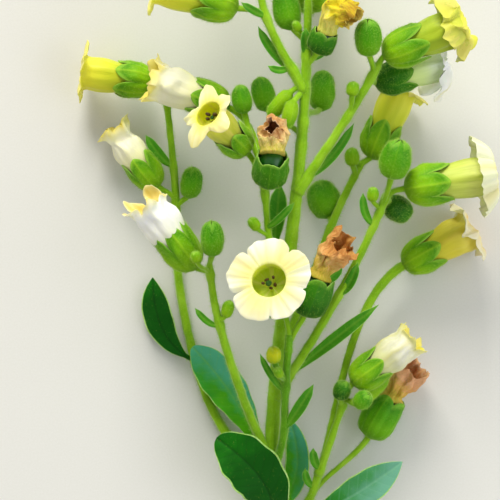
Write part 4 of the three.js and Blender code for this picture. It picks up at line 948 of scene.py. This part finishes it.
edgeWaves = (  # how many go round and how high they are: the large ones and the wrinkles
    ((3, 7, 11, 17), (0.4, 0.3, 0.2, 0.15)),
    ((13, 21, 29, 37), (0.5, 0.6, 0.5, 0.4)),
)


def addCorolla(surface, row, seed):
    kind, scale = {**corollaKinds[row["kind"]], **row.get("shape", {})}, row["scale"]
    chance = np.random.default_rng(seed)
    angle = np.arange(kind["columns"]) / kind["columns"] * fullTurn
    lobe = np.abs(np.cos(lobeCount / 2 * angle)) ** kind["lobePower"]
    inLobe = (angle / lobeTurn + 0.5) % 1 - 0.5  # 0 at a lobe's middle, 0.5 at a notch
    index = np.floor(angle / lobeTurn + 0.5).astype(int) % lobeCount
    reaches = chance.uniform(0.95, 1.05, lobeCount)
    rises = chance.normal(0, 0.25, lobeCount)
    if "lobes" in row:
        reaches, rises = row["lobes"].T
    swings, waves = (np.sin(np.outer(angle, counts) + chance.uniform(0, fullTurn, 4)) @ sizes
                     for counts, sizes in edgeWaves)
    edge = kind["limbRadius"] * (kind["notchShare"] + (1 - kind["notchShare"]) * lobe)
    edge = edge * (1 + (reaches[index] - 1) * lobe) * (1 + kind["ragged"] * swings)
    edge = edge - kind["tipNotch"] * hump(inLobe, kind["besideWidth"]) + 0.4 * kind["wrinkle"] * waves
    tube = profileOf([(kind[place + "At"], kind[place + "Radius"])
                      for place in ("foot", "bulge", "throat", "mouth")])
    flutes = kind["fluting"] * (np.cos(lobeCount * angle) * 0.6 + np.cos(2 * lobeCount * angle + 1) * 0.4)
    beside = hump(np.abs(inLobe) - kind["beside"], kind["besideWidth"])
    folds = kind["crease"] * (hump(inLobe, kind["creaseWidth"]) - beside)
    folds = folds - kind["pleat"] * hump(0.5 - np.abs(inLobe), kind["pleatWidth"])
    opening, thickness = kind["openingRadius"], kind["thickness"]

    def limbRow(q, side):  # q runs from the mouth to the edge
        inner = kind["mouthRadius"] if side < 0 else opening + 0.12
        ahead = kind["limbAt"] + kind["dish"] * math.sin(math.pi * q)
        ahead = ahead + (kind["rise"] + rises[index]) * lobe * q ** 2 + kind["reflex"] * q ** 1.6
        ahead = ahead + folds * q ** 0.6 + kind["wrinkle"] * waves * q ** 0.5
        ahead = ahead + kind["ruffle"] * q ** 2 * swings * 1.4
        if side < 0:  # the back runs into the tube
            ahead = ahead - (kind["limbAt"] - kind["mouthAt"] - 0.15) * math.exp(-q * 8)
        return inner + (edge - inner) * q, ahead + side * thickness / 2 * (1 - 0.5 * q)

    # A row is the reach from the axis, the place along it and the share: 0 at the foot, 0.72 at the mouth,
    # 1 at the edge, 1.5 back in the opening and 2 on the floor of the throat.
    rows = [(0, kind["footAt"], 0)]
    for t in np.linspace(0, 1, 15):
        along = kind["footAt"] + (kind["mouthAt"] - kind["footAt"]) * t
        rows.append((tube(along) + flutes * ease((t - 0.35) / 0.4), along - 0.14 * (t > 0.99), 0.72 * t))
    rows += [(*limbRow(q, -1), 0.72 + 0.26 * q) for q in np.linspace(0, 1, 11)[1:]]
    rows.append((edge + 0.06, limbRow(1.0, 0)[1], 1))
    rows += [(*limbRow(q, 1), 1.46 - 0.44 * q) for q in np.linspace(1, 0, 12)]
    rows.append((opening, kind["limbAt"] - 0.05, 1.5))
    for t in np.linspace(0, 1, 9)[1:]:
        along = kind["limbAt"] - 0.2 + (kind["floor"] - kind["limbAt"]) * t
        wall = tube(min(along, kind["mouthAt"])) - thickness
        reach = opening + (wall - opening) * ease(t * 3) + flutes * 0.6 * ease(t * 4)
        rows.append((reach, along, 1.54 + 0.4 * t))
    rows += [(0.5 * reach, kind["floor"] - 0.6, 1.97), (0, kind["floor"] - 0.7, 2)]
    reach, ahead = (np.stack([entry[part] + 0 * angle for entry in rows]) for part in (0, 1))
    points = onAxes(row["foot"], axesOf(row), reach * scale, angle[None], ahead * scale)
    loose = np.clip((ahead - kind["throatAt"] * 0.8) / 5, 0, 1)  # the tube stays firm in the calyx
    loose = loose * np.clip(reach / kind["throatRadius"], 0, 1.6)
    moved = swirl(points, kind["crumpleSize"], seed * 3)
    points = points + moved * (kind["crumple"] * scale * loose)[..., None]
    shares = np.array([entry[2] for entry in rows])
    across = np.arange(len(angle) + 1) / len(angle) * lobeCount + 0.5 + seed * lobeCount
    grain = grainRound(len(angle), across, shares * 16, shares)
    addPatch(surface, points, grain, row["petal"], around=True)


# What stands in the throat: five anthers on thin filaments, and the round stigma a little to one side.
throatLook = {
    "anther": 0.36, "antherLength": 1.1, "antherAt": 15.2, "ring": 1.15, "filament": 0.12, "rootAt": 12.8,
    "rootRing": 0.9, "stigma": 0.62, "stigmaAt": 15.3, "style": 0.2, "seed": 900,
    "stigmaShape": ((0, 0, 0), (0.05, 0.6, 0.2), (0.2, 0.95, 0.4), (0.45, 1, 0.6), (0.62, 0.8, 0.8),
                    (0.66, 0.4, 0.9), (0.58, 0, 1)),
}


def addThread(surface, root, top, radius, seed):
    t = np.linspace(0, 1, 8)
    addStem(surface, root + (top - root) * t[:, None], np.full(len(t), radius), "filament", seed, None, 8)


def addThroat(anthers, stigmas, row, seed):
    chance = np.random.default_rng(seed + throatLook["seed"])
    scale, foot, axes, look = row["scale"], row["foot"], axesOf(row), throatLook
    for place in range(lobeCount):
        angle = lobeTurn * (place + 0.5) + chance.uniform(-0.2, 0.2)
        ring = look["ring"] * chance.uniform(0.8, 1.15)
        at = look["antherAt"] + chance.uniform(-0.9, 0.7)
        root, top = (onAxes(foot, axes, radius * scale, angle, along * scale)
                     for radius, along in ((look["rootRing"], look["rootAt"]), (ring, at)))
        lean = unit(top - root + chance.normal(0, 1.0, 3))
        addThread(anthers, root, top, look["filament"], place)
        rows = [(math.sin(v) * look["antherLength"] / 2, math.cos(v) * look["anther"], 0.5 + v / math.pi)
                for v in np.linspace(-1.57, 1.57, 9)]
        addLathe(anthers, top, axesAlong(lean, chance.uniform(0, 180)), rows, 12, "anther", place + seed,
                 lambda angle: 1 - 0.25 * np.cos(angle) ** 8)
    root = foot + axes[0] * look["rootAt"] * scale
    top = foot + axes[0] * look["stigmaAt"] * scale
    top = top + axes[1] * chance.uniform(-0.6, 0.6) + axes[2] * chance.uniform(-0.6, 0.6)
    addThread(stigmas, root, top, look["style"], seed)
    size = look["stigma"] * scale
    rows = [(along * size, radius * size, share) for along, radius, share in look["stigmaShape"]]
    addLathe(stigmas, top, axes, rows, 16, "stigma", seed)


# Dried corollas: a creased sock, wide where it sits on the pod, with a torn mouth that shows its inside.
driedLook = {
    "columns": 72, "rows": 26, "waist": 0.95, "skirt": 1.6, "flare": 1.15, "folds": 7, "foldDepth": 0.11,
    "crumple": 0.34, "crumpleSize": 3.4, "crease": 0.26, "creaseSize": 4.4, "ragged": 0.9, "sink": 0.5,
    "thickness": 0.16, "inside": 0.62, "seed": 70,
    "open": 2.6,  # how much shorter the upper side is
    "tears": ((2, 5, 9, 14), (0.6, 0.5, 0.3, 0.2)),  # counts and sizes
}


def addDried(surface, row, seed):
    look = {**driedLook, **row.get("look", {})}
    columns = look["columns"]
    start = row["foot"] + unit(row["faces"]) * (row["crest"] - look["sink"])
    t = np.linspace(0, 1, look["rows"])[:, None]
    places = bowed(start, row["tip"], row["bow"], t)
    outs, acrosses, overs = carriedAxes(places)
    angle = np.arange(columns)[None] / columns * fullTurn
    radii = np.interp(t[:, 0], np.linspace(0, 1, len(row["radii"])), row["radii"])[:, None]
    radii = radii * (look["waist"] + (look["flare"] - look["waist"]) * ease((t - 0.35) / 0.6))
    radii = np.maximum(radii, look["skirt"] * row["radii"][0] * (1 - ease(t / 0.35)))
    phases = np.random.default_rng(seed + look["seed"]).uniform(0, fullTurn, 4)
    swings = sum(np.sin(wave * angle + phase) * size for phase, wave, size in zip(phases, *look["tears"]))
    folds = np.abs(np.sin(look["folds"] / 2 * angle + 2.2 * t + phases[0])) * 2 - 1
    minor = np.sin(13 * angle - 3 * t + phases[1]) * 0.4
    reach = radii * (1 + look["foldDepth"] * (folds + minor) * (0.35 + ease(t * 3)))
    facing = roundOf(acrosses[:, None], overs[:, None], angle)
    torn = look["ragged"] * swings * ease((t - 0.62) / 0.38)
    torn = torn - look["open"] * np.maximum(facing[..., 2], 0) * ease((t - 0.4) / 0.6)
    outer = places[:, None] + facing * reach[..., None] + outs[:, None] * torn[..., None]
    inside = int(len(t) * look["inside"])
    inner = (outer - facing * look["thickness"])[::-1][:inside]
    foot, closing = (np.repeat(places[place][None, None], columns, 1) for place in (0, len(t) - inside))
    points = np.concatenate([foot, outer, inner, closing])
    creased = np.clip(1 - 2 * np.abs(swirl(points, look["creaseSize"], seed * 7, 5)), -1.6, 1)
    moved = swirl(points, look["crumpleSize"], seed * 5) * look["crumple"] + creased * look["crease"]
    shares = np.concatenate([[0], t[:, 0], t[::-1, 0][:inside], [0.3]])
    points = points + moved * ease(shares * 1.5 + 0.1)[:, None, None]
    across = np.arange(columns + 1) / columns * fullTurn * radii.mean() + seed
    kinds = [row["dried"]] * len(t) + [row["dried"] + "Inside"] * (inside + 1)
    addPatch(surface, points, grainRound(columns, across, shares * 14 + seed, shares), kinds, around=True)


# Pods: the ripening capsule shows between the sepals.
capsuleLook = {"width": 0.78, "ridge": 0.06, "base": 0.8}


def addCapsule(surface, row, seed):
    width, base = row["radius"] * capsuleLook["width"], capsuleLook["base"]
    rows = [(base + (row["crest"] - base) * (1 - math.cos(v)) / 2, width * math.sin(v) ** 0.75, v / math.pi)
            for v in np.linspace(0.25, math.pi - 0.04, 14)]
    addLathe(surface, row["foot"], axesAlong(row["faces"]), [(base, 0, 0), *rows], 36, "pod", seed,
             lambda angle: 1 - capsuleLook["ridge"] * np.abs(np.cos(angle)) ** 9)


# Making the plant. A seed belongs to each piece, so that one can change without the others.
seeds = {"growth": 11, "blooms": 40, "pods": 70, "buds": 90, "leaves": 95}  # growth: from limb to limb


def addGrowth(surface, name, finish, seed):  # the buds and bracts of a limb
    for index, row in enumerate(limbs[name]["buds"]):
        kind = row.get("finish", "paleBud" if row["radius"] < smallBud else "bud")
        addBud(surface, row, name, kind, finish, seed + index)
    for index, row in enumerate(limbs[name]["bracts"]):
        addBlade(surface, row, name, "bract", "bract", seed + index)


for index, name in enumerate(limbs):
    surface, finish = newSurface(), limbs[name].get("finish", "stem")
    addLimb(surface, name, finish, index + 1)
    addGrowth(surface, name, finish, index * seeds["growth"])
    settle(name + "_skin", surface, "stem", name)
print("stems made")

anthers, stigmas = newSurface(), newSurface()
for seed, row in enumerate(blooms, seeds["blooms"]):
    name, scale = row["name"], row["scale"]
    sepals = newSurface()
    stalk = row.get("stalkSize", stalkLook["radius"])
    addStalk(sepals, row, row["carrier"], row["faces"], stalkLook["depth"], stalk, "stem", seed)
    length, radius = row.get("calyx", calyxSize["length"]) * scale, calyxSize[row["kind"]] * scale
    finish = row.get("sepals", "calyx")
    addSepals(sepals, row["foot"], axesOf(row), length, radius, calyxCup, finish, calyxDown, seed)
    settle(name + "_sepals", sepals, "calyx", name + "_calyx")
    petals = newSurface()
    addCorolla(petals, row, seed)
    settle(name + "_petals", petals, "corolla", name + "_corolla")
    if row["kind"] != "fading":
        addThroat(anthers, stigmas, row, seed)
settle("throat_anthers", anthers, "corolla")
settle("throat_stigmas", stigmas, "calyx")
print("blooms made")

for seed, row in enumerate(pods, seeds["pods"]):
    name, cup = row["name"], newSurface()
    addStalk(cup, row, row["carrier"], row["faces"], stalkLook["depth"], stalkLook["radius"], "stem", seed)
    addSepals(cup, row["foot"], axesOf(row), row["length"], row["radius"], podCup, row["sepals"],
              podDown, seed)
    addCapsule(cup, row, seed)
    settle(name + "_cup", cup, "pod", name)
    dried = newSurface()
    addDried(dried, row, seed)
    settle(name + "_withered", dried, "dried", name + "_dried_corolla")
print("pods made")

for seed, row in enumerate(largeBuds, seeds["buds"]):
    surface = newSurface()
    addBud(surface, row, row["carrier"], "bud", "stem", seed)
    settle(row["name"] + "_sepals", surface, "calyx", row["name"])
for seed, row in enumerate(leaves, seeds["leaves"]):
    surface = newSurface()
    addBlade(surface, row, row["carrier"], row["top"], row["under"], seed)
    settle(row["name"] + "_blade", surface, "leaf", row["name"])
print("buds and leaves made")


# Down: each hair is a thin three-sided cone, sunk a little into the skin.
hairLook = {
    "radius": 0.019, "sink": 0.05, "lean": 0.4,
    "lengths": (0.45, 1.25),  # shares of the length its patch asks for
    "perPiece": 48000,
}


def growDown(kind):
    name = kind + "_down"
    chance = np.random.default_rng(len(name) * 31)
    roots, headings, sizes = [], [], []
    for quads, settings in downRoots:
        if settings["kind"] != kind:
            continue
        a, b, c, d = (quads[:, corner] for corner in range(4))
        normals = np.cross(c - a, d - b) / 2
        areas = np.linalg.norm(normals, axis=1)
        counts = chance.poisson(areas * settings["density"])
        face = np.repeat(np.arange(len(quads)), counts)
        u, v = chance.uniform(size=(2, len(face), 1))
        roots.append((a[face] * (1 - u) + b[face] * u) * (1 - v) + (d[face] * (1 - u) + c[face] * u) * v)
        headings.append(normals[face] / areas[face, None])
        sizes.append(settings["length"] * chance.uniform(*hairLook["lengths"], len(face)))
    roots, headings, sizes = np.vstack(roots), np.vstack(headings), np.concatenate(sizes)
    leaning = unit(headings + chance.normal(0, hairLook["lean"], headings.shape))
    tips = roots + leaning * sizes[:, None]
    kept = tips[:, 2] > floorGap * 3  # those under the piece would go through the table
    roots, leaning, tips, sizes = roots[kept], leaning[kept], tips[kept], sizes[kept]
    sides = unit(np.cross(leaning, leaning[:, [1, 2, 0]] + 0.3))
    others = np.cross(leaning, sides)
    base = roots - leaning * hairLook["sink"]
    rings = [base + (sides * math.cos(turn) + others * math.sin(turn)) * hairLook["radius"]
             for turn in (0, fullTurn / 3, fullTurn * 2 / 3)]
    points = np.stack([*rings, tips], 1)
    for part, first in enumerate(range(0, len(points), hairLook["perPiece"])):
        some = points[first:first + hairLook["perPiece"]]
        corners = np.array([[0, 1, 3], [1, 2, 3], [2, 0, 3]])
        faces = (np.arange(len(some))[:, None, None] * 4 + corners).reshape(-1, 3)
        surface = newSurface()
        surface["points"].append(some.reshape(-1, 3))
        surface["faces"].append(faces)
        grain = some.reshape(-1, 3)[faces]
        grain[..., 2] = (0, 0, 1)
        surface["grain"].append(grain)
        surface["finish"].append(np.full(len(faces), finishNames.index("down")))
        piece = meshObject(f"{name}_{part + 1}", surface, weld=False)
        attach(piece, "root")
    print(name, len(points), "hairs")


for kind, slot in (("stem", "stem"), ("sepal", "calyx"), ("leaf", "leaf")):
    growDown(kind)


# The table, the lights and the camera, which looks straight down.
roomLook = {"floor": "#e2e0da", "grain": "#dfddd6", "half": 1.6, "sky": "#f4f5f2", "skyStrength": 0.58}
material, add = startMaterial("table, matt white paper")[:2]
place = add("TexCoord")
fibre = add("TexNoise", {"Vector": place.outputs["Object"], "Scale": 2500, "Detail": 2})  # 0.4 mm
ground = add("ValToRGB", {"Fac": fibre}, stops=[(0.3, roomLook["grain"]), (0.7, roomLook["floor"])])
closeMaterial(add, ground, fibre, 0.05, 0.02, {"Roughness": 0.9, "IOR": 1.45})
floorMesh = bpy.data.meshes.new("table")
corners = [(x * roomLook["half"], y * roomLook["half"], 0) for x, y in ((-1, -1), (1, -1), (1, 1), (-1, 1))]
floorMesh.from_pydata(corners, [], [(0, 1, 2, 3)])
floorMesh.materials.append(material)
floor = bpy.data.objects.new("table", floorMesh)
bpy.context.scene.collection.objects.link(floor)

world = bpy.data.worlds.new("soft room")
world.use_nodes = True
background = world.node_tree.nodes["Background"]
background.inputs["Color"].default_value = linearColour(roomLook["sky"])
background.inputs["Strength"].default_value = roomLook["skyStrength"]
bpy.context.scene.world = world

lamps = (  # name, place and aim in metres, size in metres, power in watts, colour
    ("window_light", (-0.14, 0.78, 0.46), (0, 0, 0.01), 0.42, 8.3, "#fffdf4"),
    ("side_fill", (0.6, -0.1, 0.45), (0, 0, 0.02), 0.7, 2.6, "#eef3ff"),
)
for name, place, aim, size, power, colour in lamps:
    light = bpy.data.lights.new(name, "AREA")
    light.size, light.energy, light.color = size, power, linearColour(colour)[:3]
    holder = bpy.data.objects.new(name, light)
    holder.location = place
    holder.rotation_euler = (Vector(aim) - Vector(place)).to_track_quat("-Z", "Y").to_euler()
    bpy.context.scene.collection.objects.link(holder)

cameraLook = {"place": (-0.00729, -0.00711, 0.618), "lens": 216, "sensor": 36}
camera = bpy.data.cameras.new("camera")
camera.lens, camera.sensor_width = cameraLook["lens"], cameraLook["sensor"]
camera.clip_start, camera.clip_end = 0.01, 20
holder = bpy.data.objects.new("camera", camera)
holder.location = cameraLook["place"]
bpy.context.scene.collection.objects.link(holder)
bpy.context.scene.camera = holder
bpy.context.scene.view_settings.view_transform = "Standard"
print("room made")
